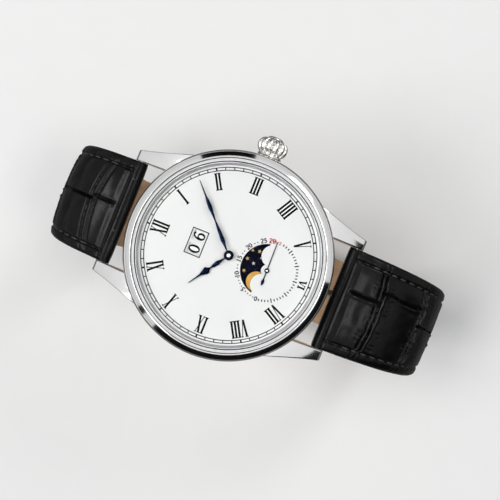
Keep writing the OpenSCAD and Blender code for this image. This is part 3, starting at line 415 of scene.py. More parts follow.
def makeCase():
    bore, flank, low, top = case["boreR"], case["flankR"], case["lowZ"], case["topZ"]
    side = [(bore, low, 0), (case["lowR"], low, 0.2), (case["lowR"] + 0.25, low + 0.7, 0.3),
            (flank - 0.1, 4.6, 1.0), (flank, 6.5, 0.8), (flank, 8.5, 0.15), (flank - 0.3, top, 0.1),
            (bore, top, 0)]
    body = makePiece("mid_case.body", turned(roundedProfile(side), 256), "polished_steel", "case", 30,
                     ("mid_case",))
    cutPiece(body, [bar((flank, 0, case["stemZ"]), 0, case["stemR"], 4)])
    stations = [case["lugFrom"] + 13.4 * i / 34 for i in range(35)]
    stations += [24.55, 24.7, 24.8, 24.95, 25.05, 25.15, 25.22, 25.27, 25.295]
    for name, sx, sy in (("one", 1, 1), ("five", 1, -1), ("seven", -1, -1), ("eleven", -1, 1)):
        rings = [[(sx * x, sy * y, z) for x, y, z in lugRing(s)] for s in stations]
        lug = makePiece("lug_" + name, skin(rings), "polished_steel", "case", 28)
        cutPiece(lug, [bar((sx * case["lugIn"], sy * case["barY"], case["barZ"]), 0, case["barHoleR"], 1.1)])


makeCase()

# bezel, crystal and the sloping ring, with thin black rings in two gaps as painted shade
bezel = {"lowZ": 8.8, "innerR": 18.65, "bore": 19.21, "faceR": 19.34, "outerR": 21.0, "seatZ": 10.0,
         "topZ": 11.17, "fall": 1.87, "foot": [(20.5, 8.8), (20.78, 8.84), (20.9, 8.98), (20.97, 9.15)],
         "gapShadeRings": (("bezel.painted_gap_shade", 19.14, 19.22, 10.93), ("flange_ring.painted_gap_shade", 18.46, 18.62, 9.93))}
crystal = {"r": 18.92, "lowZ": 10.03, "edgeZ": 11.3, "domeR": 18.35, "domeH": 0.6,
           "stations": (1, 0.97, 0.9, 0.8, 0.65, 0.5, 0.35, 0.2, 0.1)}
flange = [(17.9, 8.45), (18.0, 8.5), (18.28, 9.85), (18.35, 9.9), (18.55, 9.9), (18.55, 8.45)]


def makeBezel():
    face, bore, seat, top = bezel["faceR"], bezel["bore"], bezel["seatZ"], bezel["topZ"]
    side = [(bezel["innerR"], bezel["lowZ"])] + bezel["foot"]
    for k in range(33):
        u = cos(pi / 2 * k / 32)
        drop = 0.56 * u ** 1.15 + 0.44 * (1 - sqrt(max(0.0, 1 - u ** 6)))
        side.append((face + (bezel["outerR"] - face) * u, top - bezel["fall"] * drop))
    side += [(face - 0.04, top - 0.01), (bore + 0.02, top - 0.07), (bore, top - 0.17), (bore, seat),
             (bezel["innerR"], seat)]
    makePiece("bezel.ring", turned(side, 360), "polished_steel", "case", 32, ("bezel",))
    # thin black rings in the gap at the bezel's bore and in the gap round the sloping ring: painted shade
    # where these gaps fall dark
    for name, inner, outer, z in bezel["gapShadeRings"]:
        seam = [(inner, z - 0.05), (outer, z - 0.05), (outer, z), (inner, z)]
        makePiece(name, turned(seam, 256), "black_lacquer", "case", 30, material=inkBlack)


def makeCrystal():
    r, low, top = crystal["r"], crystal["lowZ"], crystal["edgeZ"]
    edge = [(0.001, low), (0.5 * r, low), (0.98 * r, low), (r, low + 0.03)]
    edge += [(r, top - 0.3), (r - 0.06, top - 0.2), (18.5, top - 0.02)]
    edge += [(crystal["domeR"] * t, top + crystal["domeH"] * (1 - t * t)) for t in crystal["stations"]]
    edge += [(0.001, top + crystal["domeH"])]
    makePiece("crystal.dome", turned(edge, 288), "sapphire", "case", 30, ("crystal",))


makeBezel()
makeCrystal()
slope = turned(flange, 256)
makePiece("flange_ring.slope", slope, "polished_steel", "case", 30, ("flange_ring",), satinSlope)
print("case dressed")

# crown: lobes that swell from the collar and close under a small cap
crown = {"x": 21.3, "z": 5.0, "r": 3.25, "len": 4.5, "lobes": 12, "perLobe": 18, "groove": 0.85,
         "hollowR": 1.75, "hollowDepth": 2.5,
         "collar": [(0.0, 2.35), (0.06, 2.5), (0.22, 2.6), (0.4, 2.55), (0.5, 2.4)],
         "cap": [(4.0, 1.62), (4.1, 1.6), (4.24, 1.5), (4.38, 1.2), (4.47, 0.7), (4.5, 0.01)]}


def makeCrown():
    steps, depth, hollow = crown["lobes"] * crown["perLobe"], crown["hollowDepth"], crown["hollowR"]
    outline = list(crown["collar"])
    for k in range(25):
        a = radians(-56 + 122 * k / 24)
        outline.append((crown["len"] * (0.5 + 0.38 * sin(a)), crown["r"] * (0.45 + 0.55 * cos(a))))
    outline += crown["cap"]
    rings = []
    for i in range(steps):
        a = 2 * pi * i / steps
        t = 2 * (i % crown["perLobe"]) / crown["perLobe"] - 1
        valley = crown["groove"] * (1 - sqrt(1 - 0.97 * t * t))
        side = [(x, r - valley * ease((x - 0.5) / 0.4) * (1 - ease((x - 3.35) / 0.62))) for x, r in outline]
        side += [(depth, 0.01), (depth, hollow), (0.0, hollow)]
        rings.append([(crown["x"] + x, r * cos(a), crown["z"] + r * sin(a)) for x, r in side])
    makePiece("crown.lobed", skin(rings, loop=True), "polished_steel", "crown", 40, ("crown",), crownSteel)


makeCrown()

# hands: angle, height over the case back, hole, hub and half widths from the hub to the tip
subMiddle = (0, -8.15)
hands = {
    "thick": 0.16,
    "hour": {
        "angle": 304, "z": 8.85, "hole": 0.63, "hub": 1.0, "middle": (0, 0),
        "widths": [(0.9, 0.13), (1.6, 0.2), (2.7, 0.45), (3.5, 0.36), (4.35, 0.13), (4.7, 0.26), (5.2, 0.7),
                   (5.5, 0.72), (6.1, 0.46), (7.0, 0.18), (8.0, 0.12), (9.5, 0.08), (9.7, 0.04)]},
    "minute": {
        "angle": 47.1, "z": 9.25, "hole": 0.41, "hub": 0.96, "middle": (0, 0),
        "widths": [(0.85, 0.1), (1.6, 0.17), (3.3, 0.42), (5.0, 0.33), (7.5, 0.15), (8.6, 0.24),
                   (10.2, 0.41), (11.2, 0.36), (12.8, 0.16), (14.2, 0.125), (15.9, 0.08), (16.0, 0.03)]},
    "seconds": {
        "angle": 89, "z": 8.60, "hole": 0.19, "hub": 0.5, "middle": subMiddle,
        "widths": [(-3.15, 0.03), (-2.85, 0.2), (-2.3, 0.32), (-1.95, 0.2), (-1.75, 0.12), (-0.6, 0.1),
                   (0.6, 0.1), (3.0, 0.09), (5.95, 0.075), (6.05, 0.04)]},
    "cap": [(0.001, 9.46), (0.38, 9.46), (0.38, 9.5), (0.33, 9.55), (0.2, 9.58), (0.001, 9.59)],
    "smallCap": [(0.001, 8.72), (0.24, 8.72), (0.24, 8.77), (0.18, 8.8), (0.001, 8.815)],
}


# half widths along a hand, eased between the given keys
def smoothStations(keys, steps=8):
    out = []
    for (y0, w0), (y1, w1) in zip(keys, keys[1:]):
        out += [(y0 + (y1 - y0) * k / steps, w0 + (w1 - w0) * ease(k / steps)) for k in range(steps)]
    return out + [keys[-1]]


def handShell(hand, thick):
    rings = []
    for y, w in smoothStations(hand["widths"]):
        ring = []
        for u, h in ((-1, 0), (-1, 0.35), (-0.5, 0.68), (0, 1), (0.5, 0.68), (1, 0.35), (1, 0)):
            ring.append((*clockPoint(hand["angle"], y, w * u, hand["middle"]), hand["z"] + thick * h))
        rings.append(ring)
    return skin(rings)


def hubShell(hand, thick):
    hole, hub, low, top = hand["hole"], hand["hub"], hand["z"], hand["z"] + thick
    side = [(hole, low, 0.03), (hub, low, 0.03), (hub, top, 0.07), (hole, top, 0.07)]
    return turned(roundedProfile(side, 4), 72, hand["middle"])


def makeHands():
    for kind in ("hour", "minute", "seconds"):
        name = kind + "_hand"
        shells = [handShell(hands[kind], hands["thick"]), hubShell(hands[kind], hands["thick"] + 0.04)]
        makePiece(name + ".blued", joinShells(shells), "blued_steel", name, 28, (name,))
    smallCap, cap = turned(hands["smallCap"], 36, subMiddle), turned(hands["cap"], 48)
    makePiece("seconds_hand.cap", smallCap, "watch_steel", "seconds_hand", 40)
    makePiece("minute_hand.cap", cap, "polished_steel", "minute_hand", 40)


makeHands()
print("crown and hands made")

# printing on the dial: flat outlines with a little thickness
dialTop = 8.45
dialMarks = {"rails": ((17.42, 17.6), (16.84, 17.02)), "tick": (16.93, 17.5), "hourTick": 0.32,
             "minuteTick": 0.19, "smallTick": (5.8, 6.26, 0.21), "longTick": (5.55, 6.45, 0.22), "dots": 5.9,
             "dotR": 0.13, "dayStep": 180 / 29.5, "bareDays": (14, 16, 19, 21, 24, 26), "dayRing": 5.98,
             "days": (("0", -90), ("5", -59.5), ("10", -29), ("15", 1.5), ("20", 32), ("25", 62.5))}


def makePrint(name, outlines, z=dialTop, body="case", slotName="black_lacquer", material=inkBlack,
              thick=0.012):
    points, faces = [], []
    for outline in outlines:
        faces.append([len(points) + k for k in range(len(outline))])
        points += [(x, y, z + thick) for x, y in outline]
    piece = makePiece(name, (points, faces), slotName, body, material=material)
    for face in piece.data.polygons:
        if face.normal.z < 0:
            face.flip()
    editMesh(piece.data, weld)
    sheet = piece.modifiers.new("ink", "SOLIDIFY")
    sheet.thickness, sheet.offset = thick * mm, -1


def ringBand(inner, outer, steps=180):
    turns = [360 * i / steps for i in range(steps + 1)]
    return [[clockPoint(a, inner), clockPoint(a, outer), clockPoint(b, outer), clockPoint(b, inner)]
            for a, b in zip(turns, turns[1:])]


def tick(angle, inner, outer, width, middle=(0, 0)):
    corners = ((inner, -width / 2), (outer, -width / 2), (outer, width / 2), (inner, width / 2))
    return [clockPoint(angle, r, side, middle) for r, side in corners]


# figures drawn with a pen: each stroke is a list of (x, y, pen width) on a body 0.62 wide and 1 high
def penRing(cx, cy, rx, ry):
    turns = [radians(30 * k) for k in range(13)]
    return [(cx + rx * cos(a), cy + ry * sin(a), 0.68 + 0.5 * abs(cos(a))) for a in turns]


figures = {
    "0": [penRing(0.31, 0.5, 0.25, 0.44)],
    "1": [[(0.12, 0.78, 0.6), (0.31, 0.93, 0.9)], [(0.33, 0.97, 1.1), (0.33, 0.03, 1.1)],
          [(0.14, 0.03, 0.6), (0.52, 0.03, 0.6)]],
    "2": [[(0.08, 0.72, 1.3), (0.13, 0.88, 0.9), (0.31, 0.95, 0.8), (0.52, 0.76, 1.2), (0.42, 0.5, 1.0),
           (0.08, 0.08, 0.6)], [(0.06, 0.06, 1.1), (0.56, 0.06, 1.1)]],
    "3": [[(0.08, 0.80, 1.2), (0.28, 0.95, 0.8), (0.50, 0.76, 1.1), (0.24, 0.53, 0.6)],
          [(0.24, 0.53, 0.6), (0.54, 0.28, 1.1), (0.28, 0.05, 0.8), (0.06, 0.22, 1.2)]],
    "4": [[(0.42, 0.96, 0.6), (0.04, 0.30, 0.6)], [(0.04, 0.28, 0.8), (0.58, 0.28, 0.8)],
          [(0.43, 0.96, 1.1), (0.43, 0.03, 1.1)]],
    "5": [[(0.14, 0.94, 1.1), (0.52, 0.94, 1.1)], [(0.14, 0.94, 0.7), (0.10, 0.52, 0.7)],
          [(0.10, 0.52, 0.7), (0.34, 0.62, 0.9), (0.54, 0.34, 1.1), (0.30, 0.05, 0.8), (0.06, 0.18, 1.2)]],
    "6": [[(0.51, 0.84, 1.4), (0.40, 0.95, 0.8), (0.16, 0.80, 0.9), (0.07, 0.45, 1.1), (0.09, 0.28, 1.1)],
          penRing(0.31, 0.31, 0.23, 0.27)],
    "7": [[(0.05, 0.93, 1.1), (0.56, 0.93, 1.0)], [(0.55, 0.92, 0.7), (0.34, 0.55, 0.9), (0.24, 0.03, 1.3)]],
    "8": [penRing(0.31, 0.73, 0.19, 0.22), penRing(0.31, 0.27, 0.24, 0.24)],
    "9": [[(0.11, 0.16, 1.4), (0.22, 0.05, 0.8), (0.46, 0.20, 0.9), (0.55, 0.55, 1.1), (0.53, 0.72, 1.1)],
          penRing(0.31, 0.69, 0.23, 0.27)],
    "/": [[(0.05, 0.0, 0.7), (0.5, 1.0, 0.7)]],
}


# between b and c on a smooth curve through a, b, c and d
def curvePoint(a, b, c, d, t):
    return b + 0.5 * t * (c - a + t * (2 * a - 5 * b + 4 * c - d) + t * t * (3 * b - a - 3 * c + d))


# one stroke as a strip of quads along a smooth curve through its keys
def penQuads(keys, size, pen):
    dense = []
    padded = [keys[0], *keys, keys[-1]]
    for i in range(len(keys) - 1):
        for step in range(6 if len(keys) > 2 else 1):
            dense.append([curvePoint(*four, step / 6) for four in zip(*padded[i:i + 4])])
    dense.append(list(keys[-1]))
    last = len(dense) - 1
    sides = []
    for i, (x, y, w) in enumerate(dense):
        before, after = dense[max(0, i - 1)], dense[min(last, i + 1)]
        if keys[0][:2] == keys[-1][:2] and i in (0, last):
            before, after = dense[-2], dense[1]
        along = Vector((after[0] - before[0], after[1] - before[1])).normalized()
        half = Vector((-along.y, along.x)) * w * pen / 2
        here = Vector((x, y)) * size
        sides.append((tuple(here + half), tuple(here - half)))
    return [[a[0], a[1], b[1], b[0]] for a, b in zip(sides, sides[1:])]


# figures centred on a point, with their tops turned by so many degrees from +Y
def figureOutlines(text, height, pen, middle, turn):
    out = []
    for i, letter in enumerate(text):
        left = ((i - (len(text) - 1) / 2) * 0.72 - 0.31) * height
        for keys in figures[letter]:
            for quad in penQuads(keys, height, pen):
                out.append([clockPoint(-turn, y - height / 2, x + left, middle) for x, y in quad])
    return out


# numerals: long and short hold the distance of the feet from the middle, the height and a squeeze
numerals = {"long": (13.05, 3.47, 1.0), "short": (14.95, 1.5, 0.88), "thick": 0.41, "thin": 0.15,
            "serif": 0.14, "pitch": 0.655, "vee": 0.88, "cross": 0.72, "gap": 0.56,
            "names": ["XII", "I", "II", "III", "IIII", "V", "VI", "VII", "VIII", "IX", "X", "XI"]}


# quads of a numeral with its feet at 0, each corner as (x, height)
def numeralQuads(text, height):
    n, x, quads = numerals, 0.0, []

    def addQuad(x0, half0, y0, x1, half1, y1):
        quads.append([(x0 - half0, y0), (x0 + half0, y0), (x1 + half1, y1), (x1 - half1, y1)])

    def stroke(x0, x1, width):
        addQuad(x0, width / 2, 0.0, x1, width / 2, height)

    def serif(at, y, width):
        edge, half, rise = height * y, width / 2, n["serif"] * (1 - 2 * y)
        addQuad(at, half, edge, at, half, edge + rise * 0.6)
        addQuad(at, half, edge + rise * 0.6, at, half - 0.1, edge + rise * 1.7)

    for i, letter in enumerate(text):
        if letter == "I":
            stroke(x, x, n["thick"])
            serif(x, 0, n["thick"] + 0.3)
            serif(x, 1, n["thick"] + 0.24)
            x += n["pitch"] if text[i + 1:i + 2] == "I" else n["gap"] + 0.1
        elif letter == "V":
            stroke(x + 0.42, x, n["thick"])
            stroke(x + 0.5, x + n["vee"], n["thin"])
            serif(x, 1, n["thick"] + 0.26)
            serif(x + n["vee"], 1, 0.42)
            x += n["vee"] + n["gap"]
        else:
            stroke(x + n["cross"], x, n["thick"])
            stroke(x - 0.1, x + n["cross"] - 0.06, n["thin"])
            serif(x, 1, n["thick"] + 0.24)
            serif(x + n["cross"], 0, n["thick"] + 0.24)
            serif(x - 0.1, 0, 0.42)
            serif(x + n["cross"] - 0.06, 1, 0.42)
            x += n["cross"] + n["gap"]
    places = [px for quad in quads for px, py in quad]
    middle = (min(places) + max(places)) / 2
    return [[(px - middle, py) for px, py in quad] for quad in quads]


def makeDialPrint():
    m = dialMarks
    marks = [quad for inner, outer in m["rails"] for quad in ringBand(inner, outer)]
    marks += [tick(6 * k, *m["tick"], m["minuteTick"] if k % 5 else m["hourTick"]) for k in range(60)]
    makePrint("dial.minute_track", marks)
    for hour, text in enumerate(numerals["names"]):
        foot, height, squeeze = numerals["short" if text == "VI" else "long"]
        quads = numeralQuads(text, height)
        shape = [[clockPoint(30 * hour, foot + y, squeeze * x) for x, y in quad] for quad in quads]
        makePrint("dial.numeral_%02d" % (hour or 12), shape)
    ticks = [tick(90 + 6 * k, *m["smallTick" if k % 5 else "longTick"], subMiddle) for k in range(2, 30)]
    makePrint("dial.small_seconds_ticks", ticks)
    days = [day for day in range(1, 29) if day % 5 and day not in m["bareDays"]]
    spots = [clockPoint(day * m["dayStep"] - 90, m["dots"], 0, subMiddle) for day in days]
    makePrint("dial.moon_age_dots", [circle(spot, m["dotR"], 10) for spot in spots])
    for text, angle in m["days"]:
        at = clockPoint(angle, m["dayRing"], 0, subMiddle)
        makePrint("dial.moon_age_" + text, figureOutlines(text, 0.92, 0.19, at, -angle))
    red = figureOutlines("29", 0.94, 0.2, clockPoint(79.0, 6.02, 0, subMiddle), -79.0)
    red += figureOutlines("1/2", 0.6, 0.13, clockPoint(90.5, 6.0, 0, subMiddle), -90.5)
    makePrint("dial.moon_age_29", red, material=inkRed)


makeDialPrint()
print("dial printed")

# date: frame round the two windows, and figures on both discs
date = {"y": 6.93, "discX": 5.9, "ringR": 4.55, "topZ": 7.85, "halfX": 2.7, "halfY": 1.73, "line": 0.2,
        "lineH": 0.06, "figure": 2.4, "pen": 0.37}


def makeDateLine():
    rise = ((0, 0), (0, 0.6), (0.25, 1), (0.75, 1), (1, 0.6), (1, 0))
    section = [(date["line"] * u, dialTop + date["lineH"] * h) for u, h in rise]
    rings = []
    for x, y in ((1, 1), (-1, 1), (-1, -1), (1, -1)):
        rings.append([(x * (date["halfX"] - u), date["y"] + y * (date["halfY"] - u), z) for u, z in section])
    line = skin(rings, loop=True)
    makePiece("date_window_frame.line", line, "black_lacquer", "case", 30, ("date_window_frame",), inkBlack)


def makeDate():
    for kind, side, count, step, shown in (("units", 1, 10, 36, 6), ("tens", -1, 4, 90, 0)):
        for number in range(count):
            turn = step * (number - shown)
            a = radians(turn)
            at = (side * (date["discX"] - date["ringR"] * cos(a)), date["y"] - side * date["ringR"] * sin(a))
            shape = figureOutlines(str(number), date["figure"], date["pen"], at, turn)
            makePrint("date_%s.%d" % (kind, number), shape, date["topZ"], "date_%s_disc" % kind)


makeDateLine()
makeDate()

# moon disc: two plain gold moons and the stars between them, as (x, y, radius, gold)
moon = {"y": subMiddle[1], "topZ": 7.85, "r": 2.02, "at": (-2.82, 1.17), "starThick": 0.03,
        "stars": [(2.76, 4.09, 0.39, 1), (3.04, 2.74, 0.45, 1), (0.84, 4.49, 0.46, 1), (0.37, 2.99, 0.42, 0),
                  (-1.65, 4.24, 0.43, 1), (1.87, 2.03, 0.2, 0)]}


def makeMoon():
    discs, gold, white = [], [], []
    z, full, thick = moon["topZ"], moon["r"], moon["starThick"]
    for turn in (1, -1):
        middle = (moon["at"][0] * turn, moon["y"] + moon["at"][1] * turn)
        rings = []
        for r, h in ((full, 0), (full, 0.02), (full * 0.92, 0.05), (full * 0.6, 0.075), (0.01, 0.08)):
            rings.append([(x, y, z + h) for x, y in circle(middle, r, 72)])
        discs.append(skin(rings))
        for x, y, r, isGold in moon["stars"]:
            outline = []
            for k in range(10):
                a = radians(90 + 36 * k + 17 * x)
                q = r * 0.42 if k % 2 else r
                outline.append((x * turn + q * cos(a), moon["y"] + y * turn + q * sin(a)))
            (gold if isGold else white).append(outline)
    makePiece("moon_disc.moons", joinShells(discs), "gilt_brass", "moon_disc", 30, material=goldLeaf)
    makePrint("moon_disc.gold_stars", gold, z, "moon_disc", "gilt_brass", starGold, thick)
    makePrint("moon_disc.white_stars", white, z, "moon_disc", "disc_white", starWhite, thick)


makeMoon()
print("date and moon made")

# strap: both halves follow the routes of the solids, as (length, turn in degrees)
strap = {"half": 11.0, "endHalf": 9.0, "taper": 60, "low": -0.7, "lining": 0.9, "liningFrom": 1.65,
         "lugRoll": 1.6, "padH": 3.2, "thinH": 1.2, "padOver": 7, "thinFrom": 9, "thinOver": 26,
         "tipLen": 9.0, "stitch": 1.5, "stitchPitch": 2.2, "stitchFrom": 4.2, "stitchInset": 2.1,
         "threadR": 0.24, "holes": 6, "holeR": 0.8, "holePitch": 5, "holeFrom": 18, "barR": 0.8}
halves = {
    "strap_12": {"length": 68.0, "route": [(6, 0), (22.8, 87), (17, 0), (11.9, 68), (40, 0)], "head": 25,
                 "seed": 1, "sign": 1, "tail": False, "firstRow": 5.4, "bow": -1.6,
                 "divides": [1.1, 0.4, -1.2, 1.5, 0.2, -1.4, 0.8, -0.5, 1.2]},
    "strap_6": {"length": 98.0, "route": [(12, 0), (25.5, 77), (10, 0), (23.7, 85), (60, 0)], "head": 18,
                "seed": 2, "sign": -1, "tail": True, "firstRow": 7.1, "bow": -0.6,
                "divides": [2.4, 4.4, 0.6, -1.8, 1.4, -0.6, 2.0, -1.2, 0.5]},
}


# where a distance along a half leads: y, z and the heading
def routeAt(half, s):
    y, z, head = case["barY"], case["barZ"], half["head"]
    for i, (length, turn) in enumerate(half["route"]):
        d = s if i == len(half["route"]) - 1 else min(s, length)
        a = radians(head)
        if turn == 0 or s < 0:
            y, z = y + d * cos(a), z - d * sin(a)
        else:
            bend = length / radians(turn)
            head += turn * d / length
            b = radians(head)
            y, z = y + bend * (sin(b) - sin(a)), z - bend * (cos(a) - cos(b))
        s -= d
        if s <= 1e-9:
            break
    return y, z, radians(head)


# a point beside a spot of the route: x across, v out of the strap and d onward
def strapPoint(half, spot, x, v, d=0.0):
    y, z, a = spot
    return x, half["sign"] * (y + d * cos(a) + v * sin(a)), z - d * sin(a) + v * cos(a)


def sideWidth(s):
    return strap["half"] - (strap["half"] - strap["endHalf"]) * ease(s / strap["taper"])


# half the width, with the tail's tip rounded
def halfWidth(half, s):
    t = max(0.0, (s - half["length"]) / strap["tipLen"] + 1) if half["tail"] else 0.0
    return sideWidth(s) * max(0.16, sqrt(max(0.0, 1 - t * t)))


def thinning(s):
    return ease((s - strap["thinFrom"]) / strap["thinOver"])


def padTop(s):
    rise = (strap["padH"] - strap["lugRoll"]) * ease(s / strap["padOver"])
    return strap["lugRoll"] + rise + (strap["thinH"] - strap["padH"]) * thinning(s)


def edgeTop(s):
    return 0.85 * padTop(s) + 0.15 * strap["low"] - 0.7 * ease(s / strap["padOver"]) * (1 - thinning(s))


# plates of the hide: rows parted by double grooves, each row split once lengthwise
def plateRelief(half, s, x, w):
    seed = half["seed"]
    row, index, place, best = 0, 0, half["firstRow"], 99.0
    smooth = seed == 1 and s < 10
    while place < 110:
        bow = (half["bow"] if index == 0 else 1.2 * (-1) ** index) * (abs(x) / w) ** 1.8
        off = s - place - bow - (0.12 if smooth else 0.4) * grain(x * 0.35, index * 5.1, seed)
        best = min(best, off, off - 1.15, key=abs)
        row += off > 0.5
        first = off if index == 0 else first
        index += 1
        place += max(8.2, 11.5 - 0.6 * index)
    split = half["divides"][row % len(half["divides"])] + 0.5 * grain(s * 0.16, seed * 7.1, 0)
    centre = abs(x - split)
    dip = 0.5 * bell(centre, 0.22)
    lip = 0.24 * bell(centre - 0.65, 0.34) * (1 if x < split else 0.1)
    pillow = 0.24 * (1 - exp(-min(abs(best), centre) / 1.5))
    start = ease((s - 0.8) / 1.2)
    if smooth:
        dip += 0.24 * (bell(first + 0.15, 0.26) + bell(first - 1.3, 0.26))
        return (pillow + lip - dip + 0.16 * bell(first - 0.57, 0.5, 4)) * start
    dip += (0.25 + 0.2 * ease((grain(x * 0.3, s * 0.15, seed + 9) + 0.5) / 0.6)) * bell(best, 0.22)
    lip += 0.14 * bell(abs(best) - 0.5, 0.24)
    creases = max(0.0, sin(x * 6.5 + 2.5 * grain(x * 0.6, s * 0.5, seed * 3))) ** 2
    comb = ease((grain(x * 0.3, s * 0.2, seed + 4) + 0.35) / 0.4)
    wrinkle = creases * (0.2 * bell(best - 1.9, 0.75) * comb + 0.14 * bell(best + 0.9, 0.6) * (1 - comb))
    return (pillow + lip - dip - wrinkle) * start - 0.05 * grain(x * 0.5, s * 0.5, seed)


# height of the leather's face over the strap's middle line
def surfaceHeight(half, s, x, w):
    inset, edge = strap["stitchInset"], edgeTop(s)
    u = min(1.0, abs(x) / w)
    seam = abs(x) - w + inset
    pucker = 0.5 + 0.5 * cos(2 * pi * (s - strap["stitchFrom"]) / strap["stitchPitch"])
    v = edge + (padTop(s) - edge) * (1 - u ** 3) - 0.34 * ease((s - 1) / 3)
    v += plateRelief(half, s, x, w) * (1 - 0.8 * ease((seam + 0.6) / 0.5))
    v -= (0.26 + 0.12 * pucker) * bell(seam, 0.26)
    v += 0.16 * sin(pi * min(1.0, max(0.0, seam / inset))) + 0.07 * (1 - pucker) * bell(seam - 0.5, 0.35)
    v -= 0.36 * bell(s - 0.1, 0.38) + 0.34 * ease((u - 0.955) / 0.045)
    return max(v, 1.08 - 1.3 * ease(s / 1.5))


# places across the strap, closer together near its sides
def rowPlaces(w, across=96):
    shares = [2 * k / across - 1 for k in range(across + 1)]
    return [w * (0.72 * t + 0.28 * sin(pi / 2 * t)) for t in shares]


# the hide: a roll round the spring bar, then rows along the route, finer near the lugs
def strapShell(half):
    length, roll, tip = half["length"], strap["lugRoll"], 1.2
    rings = []
    w, spot = halfWidth(half, 0), routeAt(half, 0)
    for turn in range(180, 0, -24):
        b = radians(turn + 90)
        hem = roll - 0.36 * bell(roll * radians(turn) + 0.1, 0.38)
        radii = []
        for x in rowPlaces(w):
            wobble = 0.03 * grain(x * 0.8, turn * 0.05, half["seed"])
            radii.append((x, hem - 0.12 * (abs(x) / w) ** 12 - wobble))
        radii += [(w, 0.9), (w * 0.5, 0.85), (-w * 0.5, 0.85), (-w, 0.9)]
        rings.append([strapPoint(half, spot, x, r * sin(b), r * cos(b)) for x, r in radii])
    rows = [0.14 * k for k in range(100)] + [14 + 0.28 * k for k in range(int((length - 14) / 0.28) + 1)]
    if half["tail"]:
        rows = [s for s in rows if s < length - tip]
        rows += [length - tip + tip * sin(radians(90 * k / 8)) for k in range(9)]
    for s in rows:
        w, spot = halfWidth(half, s), routeAt(half, s)
        low = 0.9 + (strap["low"] - 0.9) * min(1.0, s / 1.2)
        heights = [(x, surfaceHeight(half, s, x, w)) for x in rowPlaces(w)]
        heights += [(u * w, low) for u in (1, 0.5, -0.5, -1)]
        rings.append([strapPoint(half, spot, x, v) for x, v in heights])
    return skin(rings)


# an upright cutter through the strap, from its outline as (x, d)
def throughTool(half, s, outline):
    return skin([[strapPoint(half, routeAt(half, s), x, v, d) for x, d in outline] for v in (-3, 3)])


def holeTools(half):
    places = [half["length"] - strap["holeFrom"] - strap["holePitch"] * i for i in range(strap["holes"])]
    return [throughTool(half, s, circle((0, 0), strap["holeR"], 28)) for s in places]


def liningShell(half):
    start, end = strap["liningFrom"], half["length"] - (0 if half["tail"] else 3.6)
    count = int((end - start) / 0.8)
    rings = []
    for i in range(count + 1):
        s = start + (end - start) * i / count
        w = halfWidth(half, s) - 0.04
        thick = strap["lining"] - 0.3 * (1 - ease((s - start) / 2.5))
        section = [(-w, 0), (-w, 0.25 - thick), (0.25 - w, -thick)]
        section += [(w * (k / 12 - 0.5) * 1.9, -thick - 0.05 * sin(pi * k / 12)) for k in range(1, 12)]
        section += [(w - 0.25, -thick), (w, 0.25 - thick), (w, 0)]
        rings.append([strapPoint(half, routeAt(half, s), x, strap["low"] + v) for x, v in section])
    return skin(rings)


# one stitch: a short round thread that dips in at both ends
def threadShell(p, q, up, r):
    along = q - p
    side = along.normalized().cross(up).normalized()
    rings = []
    for k in range(9):
        bulge = sin(pi * k / 8) ** 0.5
        centre = p + along * (k / 8) + up * (r * (0.75 * bulge - 0.55))
        section = circle((0, 0), r * (0.55 + 0.45 * bulge), 8)
        rings.append([tuple(centre + side * x + up * y) for x, y in section])
    return skin(rings)


# points (s, x) along the seam, spaced as the stitches are
def stitchPath(half, side):
    inset, length = strap["stitchInset"], half["length"]
    end = length - (strap["tipLen"] if half["tail"] else 4.6)
    out, s = [], strap["stitchFrom"]
    while s < end:
        out.append((s, side * (sideWidth(s) - inset)))
        s += strap["stitchPitch"]
    if half["tail"]:
        deep, wide = strap["tipLen"] - inset, side * (sideWidth(length) - inset)
        for k in range(6):
            phi = radians(15 * (k + 0.35))
            out.append((end + deep * sin(phi), wide * cos(phi)))
    s, x = out[-1]
    return out + [(s + strap["stitch"] * 0.6, x * 0.5 if half["tail"] else x)]


def stitchShells(half):
    share = strap["stitch"] / strap["stitchPitch"]
    stitches = []
    for side in (-1, 1):
        path = stitchPath(half, side)
        for here, after in zip(path, path[1:]):
            ends = []
            for t in (0, share):
                s, x = (p + (q - p) * t for p, q in zip(here, after))
                spot = routeAt(half, s)
                ends.append(Vector(strapPoint(half, spot, x, surfaceHeight(half, s, x, halfWidth(half, s)))))
            up = Vector((0, half["sign"] * sin(spot[2]), cos(spot[2])))
            stitches.append(threadShell(*ends, up, strap["threadR"]))
    return joinShells(stitches)


def makeStrap():
    for name, half in halves.items():
        leather = makePiece(name + "_leather.hide", strapShell(half), "strap_leather", name, 60,
                            (name + "_leather",))
        y, z, a = routeAt(half, 0)
        slot = [(-1.3, 4), (1.3, 4), (1.3, -3.4), (-1.3, -3.4)]
        tools = holeTools(half) if half["tail"] else [throughTool(half, half["length"], slot)]
        cutPiece(leather, [bar((0, half["sign"] * y, z), 0, strap["barR"], 12)] + tools)
        lining = makePiece(name + "_lining.calf", liningShell(half), "lining_leather", name, 50,
                           (name + "_lining",))
        if half["tail"]:
            cutPiece(lining, holeTools(half))
        makePiece(name + ".stitching", stitchShells(half), "strap_leather", name, 60, material=threadBlack)


makeStrap()
print("strap made")

# keepers: leather loops with a crease along both edges
keeper = {"low": -1.85, "high": 4.3, "thick": 1.1, "wide": 5.0, "corner": 0.8, "fixedAt": 61.5, "freeAt": 34}


